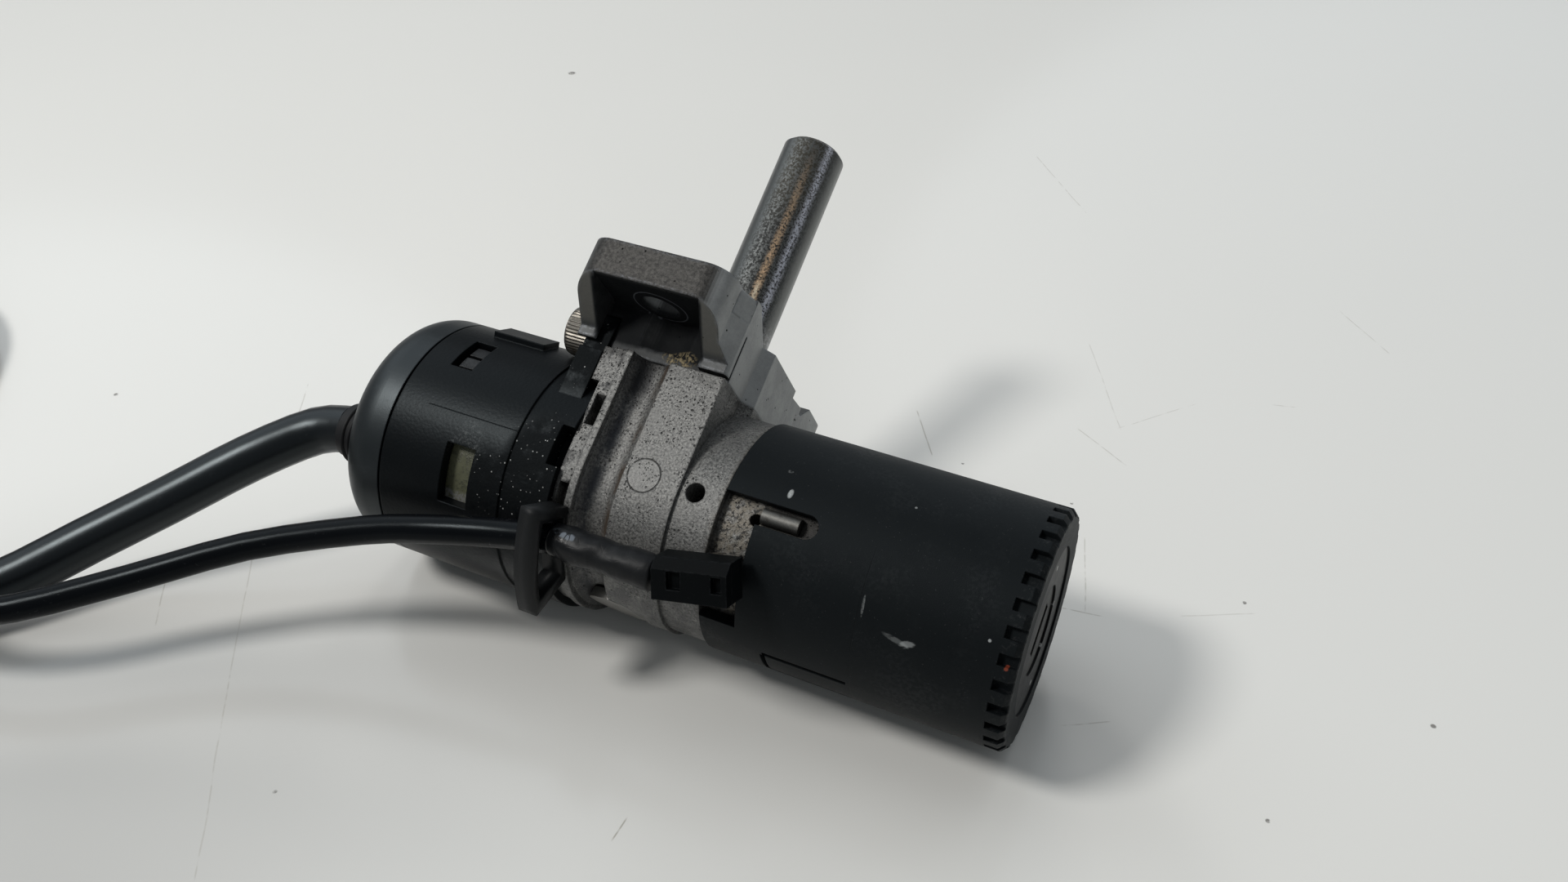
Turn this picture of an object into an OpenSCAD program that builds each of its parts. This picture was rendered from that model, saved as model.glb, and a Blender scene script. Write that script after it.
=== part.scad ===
// Ignition switch with steering lock, lying on a table as it was photographed.
// Each piece is drawn in the lock's own frame and set down on the table by one move:
// x runs along the lock to the key face, y along the lock bolt, z out of the face that is seen.
// All lengths are in millimetres and all angles in degrees.

/* [Rest] */
// Angle of the lock bolt above the table
lean = 32; // [20:1:45]

/* [Front sleeve] */
// Diameter of the plastic sleeve round the key face
sleeve_d = 40; // [38:0.5:43]
// Length of the sleeve along the lock
sleeve_len = 51; // [48:0.5:60]
// Wall of the sleeve
sleeve_wall = 1.9; // [1.4:0.1:2.4]
// Thickness of the sleeve's front wall
face_wall = 3; // [2.6:0.1:5]
// Chamfer of the rim
rim_chamfer = 0.9; // [0.4:0.1:1.1]
// Notches round the rim
notch_count = 30; // [18:1:36]
// Length of a notch along the sleeve
notch_len = 3.1; // [2:0.1:5]
// Width of a notch
notch_w = 1.9; // [1:0.1:2.4]
// Depth of a notch into the wall
notch_depth = 1.2; // [0.6:0.1:1.3]
// Depth of the cut-out in the sleeve's rear edge
cut_depth = 6.4; // [4:0.2:8]
// Width of the latch slot
slot_w = 4; // [3.4:0.1:5]
// Length of the latch slot beyond the cut-out
slot_len = 10; // [9.4:0.2:13]
// Length of the snap tongue's two slits
slit_len = 15; // [8:0.5:20]
// Width of a slit
slit_w = 0.9; // [0.5:0.1:1.5]

/* [Lock] */
// Diameter of the marked disc in the key face
disc_d = 28; // [26:0.5:31]
// Thickness of the marked disc
disc_t = 1.5; // [1:0.1:1.8]
// Diameter of the key plug
plug_d = 15; // [13:0.5:16.5]
// Width of the keyway
keyway_w = 2.6; // [2:0.1:3]
// Height of the keyway
keyway_h = 8.6; // [7:0.2:9]
// Depth of the keyway
keyway_len = 30; // [24:1:34]
// Diameter of the lock barrel
barrel_d = 26; // [24:0.5:27]
// Length of the lock barrel behind the front wall
barrel_len = 39; // [37:0.5:41]
// Tumblers in the key plug
tumbler_count = 6; // [3:1:6]
// Turn of the key from locked to start
key_turn = 120; // [90:5:140]
// Width of the latch pin
latch_w = 2.6; // [2:0.1:3]
// Length of the latch pin along the lock
latch_len = 6.4; // [4:0.2:7]
// Travel of the latch pin when the sleeve is drawn off
latch_travel = 1.9; // [1:0.1:2]

/* [Lock bolt] */
// Diameter of the steel lock bolt
bolt_d = 12; // [10:0.5:14]
// Reach of the bolt's end from the lock's axis
bolt_reach = 74.7; // [55:0.5:90]
// Travel of the bolt over the whole turn of the key
bolt_travel = 8; // [5:0.5:10]
// Radius of the drive shaft
shaft_r = 4.5; // [4:0.1:5]
// Thickness of the bolt slide's bars
slide_bar = 2.5; // [2:0.1:3.5]
// Thickness of the bolt slide along the lock
slide_t = 5; // [4:0.2:6]

/* [Lock housing] */
// Wall of the housing round the bolt chamber
housing_wall = 2.6; // [2:0.1:4]
// Length of the collar behind the sleeve
collar_len = 7.4; // [6.5:0.2:10]
// Distance of the bolt's axis behind the collar
bolt_inset = 9.7; // [9.2:0.1:12]
// Radius of the groove round the housing
groove_r = 3.4; // [2:0.1:3.6]
// Width of the rear flange with its lip
flange_len = 4; // [3:0.1:5]
// Height of the joint face above the lock's axis
joint_rise = 19.5; // [18.8:0.1:22]
// Diameter of the release hole in the collar
release_d = 3.3; // [2:0.1:4]

/* [Mounting bracket] */
// Height of the bracket over the joint face
bracket_h = 10.5; // [9.5:0.1:14]
// Thickness of an ear
ear_t = 6.3; // [5:0.1:8]
// Width of an ear along the lock
ear_w = 26.5; // [21:0.1:28]
// Reach of the near ear from the bolt's axis
near_reach = 30; // [29:0.5:36]
// Distance of the near ear's hole from the bolt's axis
near_hole = 21.5; // [21:0.1:23]
// Distance of the far ear's hole from the bolt's axis
far_hole = 34; // [30:0.5:35]
// Diameter of the ear holes
ear_hole_d = 7; // [5:0.5:8.5]
// Corner radius of an ear
ear_corner = 4.5; // [2:0.5:6]
// Wall of the pocket under an ear
gusset_t = 3.4; // [2:0.1:3.8]

/* [Switch] */
// Diameter of the switch housing
switch_d = 44; // [42.5:0.5:47]
// Length of the switch housing
switch_len = 33.2; // [31:0.2:38]
// Wall of the switch housing
switch_wall = 2; // [1.5:0.1:2.6]
// Length of the rear cap
cap_len = 10.2; // [9:0.2:14]
// Radius of the rear cap's rounding
cap_round = 7; // [3:0.5:8]
// Diameter of the switch's cap screw
screw_d = 5; // [4:0.5:6]
// Thickness of the screw tab
tab_t = 4.5; // [3:0.1:6]

/* [Key-in switch] */
// Length of the small switch
micro_len = 12.8; // [11:0.2:15]
// Height of the small switch
micro_h = 6.5; // [5.5:0.1:8]
// Thickness of the small switch
micro_t = 5.8; // [5:0.1:7]
// Travel of its plunger
plunger_travel = 0.8; // [0.4:0.1:1.2]
// Width of the cable clip
clip_w = 3.6; // [2.8:0.1:3.7]
// Wall of the cable clip
clip_wall = 1.6; // [1:0.1:2.4]

/* [Cables] */
// Diameter of the main cable
main_d = 9; // [7:0.5:10]
// Diameter of the thin cable
sense_d = 5; // [4:0.5:6]

/* [Hidden] */
$fn = 64;

// Fits
run_gap = 0.05;
press_gap = 0.02;
seat_gap = 0.3;
overcut = 1;

// Sleeve and face
sleeve_r = sleeve_d / 2;
sleeve_in = sleeve_r - sleeve_wall;
notch_turn = -4;
cut_from = -58;
cut_to = 4.5;
slot_end = -sleeve_len + cut_depth + slot_len;
slit_angles = [-71.5, -92];
slit_start = -sleeve_len + cut_depth + 4;
tongue_half = sleeve_in * sin((slit_angles[0] - slit_angles[1]) / 2);
disc_r = disc_d / 2;
disc_set_back = 0.35;
disc_floor = disc_set_back + disc_t;

// Lock barrel, key plug and their front
barrel_r = barrel_d / 2;
barrel_front = -face_wall - seat_gap;
barrel_rear = barrel_front - barrel_len;
barrel_neck_r = plug_d / 2 + 2;
plug_r = plug_d / 2;
plug_set_back = 0.7;
tongue_len = 2;
tongue_w = 3;
plug_rear = barrel_rear + tongue_len;
head_r = plug_r - seat_gap;
head_len = 5;
head_front = plug_rear - seat_gap;
head_rear = head_front - head_len;
tumbler_t = 1.2;
tumbler_w = 5.2;
tumbler_pitch = 4;
tumbler_first = -8;
tumbler_h = 2 * plug_r - 2;

// Latch that keeps the sleeve on the housing
latch_front = -sleeve_len + cut_depth + latch_len + seat_gap;
latch_rear = latch_front - latch_len;
latch_top = sleeve_r - 0.4;
latch_floor = barrel_r + 0.9;
latch_foot = latch_floor + latch_travel + 0.2;
latch_mid = (latch_front + latch_rear) / 2;
latch_bore_r = 0.95;
latch_bore_top = latch_top - 1.6;

// Housing along the lock
nose_r = sleeve_in - seat_gap;
nose_front = barrel_front;
collar_front = -sleeve_len - seat_gap;
block_front = collar_front - collar_len;
bolt_x = block_front - bolt_inset;
boss_front = block_front + 1.9;
boss_half = 8;
cam_rise = bolt_travel / key_turn;
cam_base = shaft_r + 0.1;
cam_lead = bolt_travel / (key_turn * PI / 180);
cam_gap = 0.1;
spring_room = 2.2;
chamber_r = cam_base + cam_gap + bolt_travel + slide_bar + spring_room;
chamber_half = slide_t / 2 + 0.6;
body_r = chamber_r + housing_wall;
collar_r = sleeve_r - 0.6;
groove_x = bolt_x - chamber_half - 0.5;
groove_depth_r = body_r - 2.4;
lip_r = body_r + 1;
lip_len = 1.3;
ring_r = body_r + 0.4;
flange_front = groove_x - groove_r;
flange_rear = flange_front - flange_len;
ring_notches = [21.5, -21.5];
lug_len = 6.4;
lug_drop = 6.2;
lug_w = 2.4;
lug_out = 1.4;
rear_bore_r = shaft_r + 3.5;
head_bore_r = head_r + seat_gap;

// Bolt slide, its chamber and its spring
slide_top_in = cam_base + cam_gap + bolt_travel + 0.5;
slide_top_out = slide_top_in + 3.3;
slide_low_in = -cam_base - cam_gap;
slide_low_out = slide_low_in - slide_bar;
slide_side_in = cam_base + cam_rise * key_turn / 4 + 0.8;
slide_side_out = slide_side_in + slide_bar;
slide_far = -cam_lead - 1.2;
slide_bevel = 3.5;
bolt_r = bolt_d / 2;
bolt_chamfer = 0.8;
bolt_foot = slide_top_out;
cover_r = 6;
cover_t = 1.8;
spring_r = min(2.3, slide_t / 2 - 0.2);
spring_wire = 0.4;

// Bracket
bracket_top = joint_rise + bracket_h;
bracket_inset = 13.2;
bracket_rear = bolt_x - bracket_inset;
bracket_half = body_r - 2;
ear_set_back = 1.95;
ear_mid = block_front - ear_set_back - ear_w / 2;
ear_rear = ear_mid - ear_w / 2;
ear_front = ear_mid + ear_w / 2;
ear_under = bracket_top - 2;
ear_top = ear_under + ear_t;
ear_slope_from = boss_half + 2;
ear_root = near_hole - ear_hole_d / 2 - 0.5;
far_root = far_hole - ear_hole_d / 2 - 0.5;
far_rise = 1.2;
ear_plan_from = bracket_half - 2;
far_inset = 3;
gusset_from = bracket_half + 1.5;
gusset_foot = joint_rise + 2.3;
gusset_blend = 4;
scoop_r = 5.8;
scoop_x = bolt_x - 3.6;
scoop_floor = joint_rise + 2.2;
tab_gap = 0.15;
bracket_screw_d = 4;
bracket_screw_head = 7;
bracket_screw_sink = 4;
bracket_screw_bite = 7;
bracket_screw_at = [[bolt_x + 5.3, 13.4], [bolt_x - 8.6, -13.2]];

// Switch
switch_r = switch_d / 2;
switch_in = switch_r - switch_wall;
switch_front = flange_rear;
switch_rear = switch_front - switch_len;
switch_neck = 9;
neck_r = switch_r - 0.3;
tab_rear = bracket_rear - tab_t;
tab_n = switch_r - 2.4;
screw_n = 13.9;
screw_rise = joint_rise + 3.1;
screw_head_d = 1.7 * screw_d;
screw_bite = 5.2;
window_low = [-40.3, -13];
window_low_inset = 12.3;
window_low_len = 5.7;
window_low_x = [switch_rear + window_low_inset, switch_rear + window_low_inset + window_low_len];
window_high = [22, 42.3];
window_high_inset = 5.4;
window_high_len = 4.4;
window_high_x = [switch_rear + window_high_inset, switch_rear + window_high_inset + window_high_len];
rib_angle = 58;
carrier_r = switch_in - seat_gap;
carrier_wall = 1.5;
carrier_inset = 12;
carrier_front = switch_front - carrier_inset;
carrier_rear = switch_rear + 0.8;
carrier_floor = carrier_rear + 5;
carrier_floor_t = 2;
hook_sink = 0.9;
hook_gap = 0.8;
hook_angles = [[24.6, 31.4], [33.4, 40.4]];
rotor_r = 15;
rotor_hub_r = 7.6;
rotor_disc = carrier_floor + carrier_floor_t + 5;
rotor_disc_t = 3;
rotor_front = switch_front - 4.6;
rotor_pivot_r = 3.5;
blade_t = 2.4;
blade_h = 7;
blade_rear = rotor_front - 4;
bridge_t = 1.2;
terminal_count = 5;
terminal_ring = 11;
terminal_w = 3.2;
terminal_t = 0.9;
terminal_rear = carrier_rear + terminal_t;
terminal_front = rotor_disc - bridge_t - seat_gap;

// Rear cap and gland
seam = 0.45;
cap_front = switch_rear - seam;
cap_rear = cap_front - cap_len;
cap_wall = 2;
gland_rise = -5.5;
gland_out = 6;
gland_len = 7;
gland_r = main_d / 2 + 1.4;
gland_tip_r = main_d / 2 + 0.6;

// Key-in switch, clip and the cable's stub
cable_ring = switch_r + sense_d / 2 + seat_gap;
cable_angle = -35.5;
micro_base = cable_ring - micro_t / 2 - 0.3;
micro_angle = -32;
micro_yaw = 12;
micro_x = -sleeve_len + 1.2;
micro_cover_t = 1.9;
micro_bevel = 1.6;
micro_hole_r = 1.05;
micro_hole_pitch = 6.5;
micro_pin_cover = 1.4;
micro_pin_sink = 2.8;
micro_slot_depth = 1;
micro_slots = [[-2.6, 2.4, 2.9], [4.6, 1.7, 2.6]];
pad_w = 4.6;
pad_front = micro_hole_pitch / 2 + micro_hole_r + 0.2;
pad_rear = -5.6;
plunger_r = 0.9;
plunger_out = 1.9;
plunger_hole_r = plunger_r + 0.4;
clip_front = flange_front - 0.2;
clip_rear = clip_front - clip_w;
clip_base_r = lip_r + 0.15;
clip_from = -62;
clip_to = -24;
clip_hole_in = cable_ring - sense_d / 2 - 0.15;
clip_hole_out = cable_ring + sense_d / 2 + 1;
clip_hole_from = -57;
clip_hole_to = -28.5;
boot_r = sense_d / 2 + 0.4;
boot_front = micro_x - micro_len / 2 - 0.5;
boot_rear = clip_front + 0.4;

// Rest on the table: the sleeve's rim, the switch's rear edge and the far ear's edge touch it
tilt = atan((switch_r - sleeve_r) / (-switch_rear - rim_chamfer));
lift = sleeve_r * cos(tilt) - rim_chamfer * sin(tilt);
ear_height = (lift - (ear_front - ear_corner) * sin(tilt)) / cos(tilt);
far_reach = (ear_height + ear_under * sin(lean)) / cos(lean);

// The origin is under the middle of the object, cables left out
clip_out_r = clip_hole_out + clip_wall;
span_y_max = bolt_reach * cos(lean) + (bolt_r - bolt_chamfer) * sin(lean);
span_y_min = -clip_out_r;
span_x_max = (sleeve_r - rim_chamfer) * sin(tilt);
span_x_min = cap_rear * cos(tilt) - (switch_r - cap_round) * sin(tilt);
center_x = (span_x_max + span_x_min) / 2;
center_y = (span_y_max + span_y_min) / 2;

// Cable routes over the table, in the camera's half of the scene: x, y and height
main_route = [
    [-138, -9.5, 23], [-147, -18.5, 20.2], [-158, -30, 15], [-168.5, -41.5, 10.4], [-178, -55, 7],
    [-188, -65.5, 5.6], [-200, -71.8, 5.3], [-215, -74.6, 5.3], [-250, -76.3, 5.3], [-288, -78, 5.3]
];
sense_route = [
    [-86, -24, 28.9], [-97, -26.5, 27.6], [-110, -29.5, 25], [-130, -37.5, 20.4], [-147, -49.5, 16.4],
    [-161, -61.5, 14.8], [-173, -68, 14.2], [-186, -69.2, 13.4], [-200, -66.5, 12], [-215, -62.7, 7],
    [-232, -61.2, 3.8], [-258, -61.5, 3.3], [-289, -63, 3.3]
];
route_steps = 2;
tie_t = 0.8;
tie_w = 4;
coil_heading = 183;
coil_turn = -1;
coil_low_arc = 298;
main_coil_r = 45;
main_top_arc = 125;
main_tie_at = 90;
sense_coil_r = 30;
sense_top_arc = 60;
sense_tie_at = 30;
layer_drop = 0.2;
tie_slack = 0.2;
plug_foot = 0.1;
plug_neck = 6;
plug_lip = 0.6;
plug_mouth = 3;
plug_wall = 1.5;
plug_main = [34, 24, 13];
plug_sense = [17, 9, 8];

zinc = [0.62, 0.62, 0.61];
dark_zinc = [0.45, 0.46, 0.47];
steel = [0.5, 0.49, 0.47];
black = [0.07, 0.07, 0.08];
brass = [0.75, 0.6, 0.3];
insert = [0.5, 0.52, 0.36];

// Helpers

module set_down() {
    translate([-center_x, -center_y, lift]) rotate([0, tilt, 0]) rotate([lean, 0, 0]) children();
}

module on_table() {
    translate([-center_x, -center_y, 0]) children();
}

module along_x(from, to, r) {
    translate([from, 0, 0]) rotate([0, 90, 0]) cylinder(h = to - from, r = r);
}

module along_bolt(from, to, r) {
    translate([0, from, 0]) rotate([-90, 0, 0]) cylinder(h = to - from, r = r);
}

module turned() {
    rotate([0, 90, 0]) rotate_extrude() children();
}

// A flat outline of bolt and face directions, extruded along the lock
module across(from, to) {
    translate([from, 0, 0]) rotate([90, 0, 90]) linear_extrude(height = to - from) children();
}

// A flat outline of lock and face directions, extruded along the bolt
module up_bolt(from, to) {
    translate([0, to, 0]) rotate([90, 0, 0]) linear_extrude(height = to - from) children();
}

module at_angle(a) {
    rotate([-a, 0, 0]) children();
}

function ray(a, r) = [r * sin(a), r * cos(a)];

module wedge(from, to, r) {
    step = (to - from) / 8;
    reach = r / cos(step / 2);
    polygon(concat([[0, 0]], [for (i = [0:8]) ray(from + i * step, reach)]));
}

module swap_axes() {
    mirror([1, -1, 0]) children();
}

module rounded_plan(from_x, to_x, from_y, to_y, r) {
    translate([from_x, from_y]) square([to_x - from_x, to_y - from_y - r]);
    translate([from_x + r, from_y]) square([to_x - from_x - 2 * r, to_y - from_y]);
    for (x = [from_x + r, to_x - r])
        translate([x, to_y - r]) circle(r);
}

// Curves for cables and springs

function unit(v) = v / norm(v);
function spline(a, b, c, d, t) =
    0.5 * (2 * b + (c - a) * t + (2 * a - 5 * b + 4 * c - d) * t * t + (3 * b - a - 3 * c + d) * t * t * t);
function pick(p, i) = p[max(0, min(len(p) - 1, i))];
function smooth(p, n) = concat(
    [for (i = [0:len(p) - 2], k = [0:n - 1])
        spline(pick(p, i - 1), pick(p, i), pick(p, i + 1), pick(p, i + 2), k / n)],
    [p[len(p) - 1]]);
function heading(p, i) = unit(pick(p, i + 1) - pick(p, i - 1));

module tube(path, r, sides, up, first, last) {
    n = len(path);
    way = [for (i = [0:n - 1]) i == 0 ? first : i == n - 1 ? last : heading(path, i)];
    rings = [for (i = [0:n - 1], k = [0:sides - 1])
        let (side = unit(cross(way[i], up)), top = cross(side, way[i]), a = 360 * k / sides)
            path[i] + r * (cos(a) * side + sin(a) * top)];
    walls = [for (i = [0:n - 2], k = [0:sides - 1])
        let (a = i * sides + k, b = i * sides + (k + 1) % sides)
            each [[a, b + sides, b], [a, a + sides, b + sides]]];
    start_cap = [[for (k = [0:sides - 1]) k]];
    end_cap = [[for (k = [sides - 1:-1:0]) (n - 1) * sides + k]];
    polyhedron(concat(rings), concat(walls, start_cap, end_cap), convexity = 10);
}

module coil_spring(height, r_low, r_high, wire, turns) {
    steps = turns * 12;
    path = [for (i = [0:steps])
        let (t = i / steps, r = r_low + (r_high - r_low) * t, a = 360 * turns * t)
            [r * cos(a), r * sin(a), wire + (height - 2 * wire) * t]];
    tube(path, wire, 6, [0, 0, 1], heading(path, 0), heading(path, steps));
}

// Front of the lock

module sleeve_profile() {
    polygon([
        [sleeve_in, -sleeve_len], [sleeve_r, -sleeve_len], [sleeve_r, -rim_chamfer],
        [sleeve_r - rim_chamfer, 0], [disc_r + run_gap, 0], [disc_r + run_gap, -disc_floor],
        [barrel_neck_r + seat_gap, -disc_floor], [barrel_neck_r + seat_gap, -face_wall],
        [sleeve_in, -face_wall]
    ]);
}

module latch_slot() {
    translate([slot_end - slot_w / 2, 0]) circle(d = slot_w);
    translate([-sleeve_len - overcut, -slot_w / 2])
        square([slot_end - slot_w / 2 + sleeve_len + overcut, slot_w]);
}

module front_sleeve() color(black) set_down() difference() {
    turned() sleeve_profile();
    for (i = [0:notch_count - 1])
        at_angle(notch_turn + i * 360 / notch_count)
            translate([-notch_len, -notch_w / 2, sleeve_r - notch_depth])
                cube([notch_len + overcut, notch_w, notch_depth + overcut]);
    across(-sleeve_len - overcut, -sleeve_len + cut_depth) wedge(cut_from, cut_to, sleeve_r + overcut);
    translate([0, 0, sleeve_in - overcut]) linear_extrude(height = sleeve_wall + 2 * overcut) latch_slot();
    for (a = slit_angles)
        at_angle(a) translate([slit_start + slit_w / 2, -slit_w / 2, sleeve_in - overcut])
            cube([slit_len - slit_w / 2, slit_w, sleeve_wall + 2 * overcut]);
    at_angle((slit_angles[0] + slit_angles[1]) / 2)
        translate([slit_start, -tongue_half, sleeve_in - overcut])
            cube([slit_w, 2 * tongue_half, sleeve_wall + 2 * overcut]);
}

module face_disc() color(black) set_down() difference() {
    along_x(-disc_floor, -disc_set_back, disc_r);
    along_x(-disc_floor - overcut, 0, plug_r + run_gap);
}

module lock_barrel() color(zinc) set_down() difference() {
    union() {
        along_x(barrel_rear, barrel_front, barrel_r);
        along_x(barrel_front, -disc_floor, barrel_neck_r);
    }
    along_x(barrel_rear - overcut, 0, plug_r + run_gap);
}

module keyway() {
    square([keyway_h, keyway_w], center = true);
}

module tumbler_row(grow) {
    for (i = [0:tumbler_count - 1])
        across(tumbler_first - i * tumbler_pitch - tumbler_t - grow, tumbler_first - i * tumbler_pitch + grow)
            square([tumbler_h + 2 * grow, tumbler_w + 2 * grow], center = true);
}

module key_plug() color(steel) set_down() difference() {
    union() {
        along_x(plug_rear, -plug_set_back, plug_r);
        across(plug_rear - tongue_len, plug_rear) square([plug_d - 4, tongue_w], center = true);
    }
    across(-keyway_len, overcut) keyway();
    tumbler_row(run_gap);
}

module tumblers() color(brass) set_down() difference() {
    tumbler_row(0);
    across(-keyway_len, overcut) square([keyway_h + 0.2, keyway_w + 0.2], center = true);
}

// Latch that keeps the sleeve on the housing

module latch_pin() color(steel) set_down() difference() {
    across(latch_rear, latch_front) {
        translate([0, latch_top - latch_w / 2]) circle(d = latch_w);
        translate([-latch_w / 2, latch_foot]) square([latch_w, latch_top - latch_foot - latch_w / 2]);
    }
    translate([latch_mid, 0, latch_foot - overcut])
        cylinder(h = latch_bore_top - latch_foot + overcut, r = latch_bore_r);
}

module latch_spring() color(steel) set_down()
    translate([latch_mid, 0, latch_floor])
        coil_spring(latch_bore_top - latch_floor, 0.62, 0.62, 0.15, 4);

// Drive shaft with the bolt's cam and the switch blade

function cam_point(t) = ray(-90 - t, cam_base + cam_rise * t) + ray(-180 - t, cam_lead);

module cam() {
    lobe = [for (t = [0:key_turn / 20:key_turn]) cam_point(t)];
    polygon(concat([[0, 0], ray(-90, cam_base)], lobe));
    circle(cam_base);
}

module drive_shaft() color(steel) set_down() difference() {
    union() {
        along_x(head_rear, head_front, head_r);
        along_x(switch_front - 1, head_front - tongue_len, shaft_r);
        across(bolt_x - slide_t / 2, bolt_x + slide_t / 2) cam();
        across(blade_rear, switch_front) square([blade_h, blade_t], center = true);
    }
    across(plug_rear - tongue_len - 0.2, head_front + overcut)
        square([plug_d, tongue_w + 2 * run_gap], center = true);
}

// Housing

module housing_side() difference() {
    union() {
        translate([flange_rear, 0]) square([flange_len - lip_len, ring_r]);
        translate([flange_front - lip_len, 0]) square([lip_len, lip_r]);
        translate([flange_front, 0]) square([block_front - flange_front, body_r]);
    }
    translate([groove_x, groove_depth_r + groove_r]) circle(groove_r);
}

module boss_plan() {
    polygon([
        [bolt_x, -boss_half - 2], [block_front, -boss_half - 2], [boss_front, -boss_half],
        [boss_front, boss_half], [block_front, boss_half + 2], [bolt_x, boss_half + 2]
    ]);
}

module micro_frame() {
    at_angle(micro_angle) translate([micro_x, 0, micro_base]) rotate([0, 0, micro_yaw]) children();
}

module micro_holes(r, from, to) {
    for (x = [-micro_hole_pitch / 2, micro_hole_pitch / 2])
        translate([x, 0, from]) cylinder(h = to - from, r = r);
}

module bracket_screw_row(from, to, r) {
    for (p = bracket_screw_at)
        translate([p[0], 0, p[1]]) along_bolt(from, to, r);
}

module lug(grow) {
    translate([bracket_rear - grow, joint_rise - lug_drop - grow, bracket_half - lug_w - grow])
        cube([lug_len + 2 * grow, lug_drop + 2 * grow, lug_w + lug_out + 2 * grow]);
}

module housing_solid() {
    turned() swap_axes() housing_side();
    up_bolt(0, joint_rise) {
        housing_side();
        mirror([0, 1]) housing_side();
        boss_plan();
    }
    along_x(block_front - overcut, collar_front, collar_r);
    along_x(collar_front - overcut, nose_front, nose_r);
    lug(0);
    micro_frame() translate([pad_rear, -pad_w / 2, -micro_base + barrel_r + 2])
        cube([pad_front - pad_rear, pad_w, micro_base - barrel_r - 2]);
}

module chamber() {
    along_x(bolt_x - chamber_half, bolt_x + chamber_half, chamber_r);
    translate([bolt_x - chamber_half, 0, slide_far - 1.6])
        cube([2 * chamber_half, slide_top_out + seat_gap, slide_side_out + 0.4 - slide_far + 1.6]);
    translate([bolt_x, 0, 0]) along_bolt(0, joint_rise + overcut, bolt_r + run_gap);
    translate([bolt_x, 0, 0]) along_bolt(-body_r - overcut, -chamber_r + 0.4, cover_r);
}

module lock_housing() color(zinc) set_down() difference() {
    housing_solid();
    translate([flange_rear - overcut, joint_rise, -lip_r])
        cube([boss_front - flange_rear + overcut, lip_r, 2 * lip_r]);
    along_x(barrel_rear - seat_gap, nose_front + overcut, barrel_r + run_gap);
    along_x(head_rear - seat_gap, barrel_rear, head_bore_r);
    along_x(flange_rear - overcut, nose_front, shaft_r + run_gap);
    along_x(flange_rear - overcut, bolt_x, rear_bore_r);
    chamber();
    for (a = ring_notches)
        at_angle(a) translate([flange_rear + 0.6, -2.6, groove_depth_r])
            cube([flange_len - lip_len - 0.6, 5.2, ring_r]);
    translate([block_front + collar_len * 0.36, 0, 0]) cylinder(h = body_r + overcut, d = release_d);
    translate([latch_rear - 1.1, -0.9, latch_floor]) cylinder(h = nose_r, r = 1);
    translate([latch_rear - run_gap, -latch_w / 2 - run_gap, latch_floor])
        cube([latch_len + 2 * run_gap, latch_w + 2 * run_gap, nose_r]);
    bracket_screw_row(joint_rise - bracket_screw_bite - seat_gap, joint_rise + overcut,
        bracket_screw_d / 2 + run_gap);
    micro_frame() {
        micro_holes(micro_hole_r, -micro_pin_sink - seat_gap, overcut);
        translate([0, 0, -micro_base + barrel_r])
            cylinder(h = micro_base - barrel_r + overcut, r = plunger_hole_r);
    }
}

module bolt_cover() color(dark_zinc) set_down()
    translate([bolt_x, 0, 0]) along_bolt(-chamber_r - cover_t, -chamber_r, cover_r - press_gap);

// Lock bolt and its slide

module bolt_profile() {
    polygon([
        [0, bolt_foot], [bolt_r, bolt_foot], [bolt_r, bolt_reach - bolt_chamfer],
        [bolt_r - bolt_chamfer, bolt_reach], [0, bolt_reach]
    ]);
}

module lock_bolt() color(steel) set_down()
    translate([bolt_x, 0, 0]) rotate([-90, 0, 0]) rotate_extrude() bolt_profile();

module slide_outline() {
    polygon([
        [slide_top_in, slide_far], [slide_top_out, slide_far], [slide_top_out, slide_side_out],
        [slide_low_out + slide_bevel, slide_side_out], [slide_low_out, slide_side_out - slide_bevel],
        [slide_low_out, slide_far], [slide_low_in, slide_far], [slide_low_in, slide_side_in],
        [slide_top_in, slide_side_in]
    ]);
}

module bolt_slide() color(dark_zinc) set_down()
    across(bolt_x - slide_t / 2, bolt_x + slide_t / 2) slide_outline();

module bolt_spring() color(steel) set_down()
    translate([bolt_x, -chamber_r, 0]) rotate([-90, 0, 0])
        coil_spring(chamber_r + slide_low_out, spring_r, spring_r - 0.5, spring_wire, 5);

// Mounting bracket

module bracket_side() {
    polygon([
        [ear_under, -far_reach], [ear_top, -far_reach], [ear_top, -far_root],
        [bracket_top + far_rise, 4 - far_root], [bracket_top, -ear_slope_from],
        [bracket_top, ear_slope_from], [ear_top, ear_root], [ear_top, near_reach], [ear_under, near_reach],
        [ear_under, bracket_half], [joint_rise, bracket_half], [joint_rise, -bracket_half],
        [ear_under, -bracket_half]
    ]);
}

// Plan of the body and both ears, in the order lock and face
module bracket_plan() {
    translate([bracket_rear, -gusset_from]) square([block_front - bracket_rear, 2 * gusset_from]);
    boss_plan();
    rounded_plan(ear_rear, ear_front, ear_plan_from, near_reach, ear_corner);
    mirror([0, 1]) rounded_plan(ear_rear + far_inset, ear_front, ear_plan_from, far_reach, ear_corner);
}

module gusset(from, to, top, reach, side) {
    across(from, to)
        polygon([
            [top, side * (bracket_half - 1)], [top, side * reach], [ear_under, side * reach],
            [gusset_foot, side * (bracket_half + 2.2)], [joint_rise + 0.6, side * (bracket_half + 2.2)],
            [joint_rise + 0.6, side * (bracket_half - 1)]
        ]);
}

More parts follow.
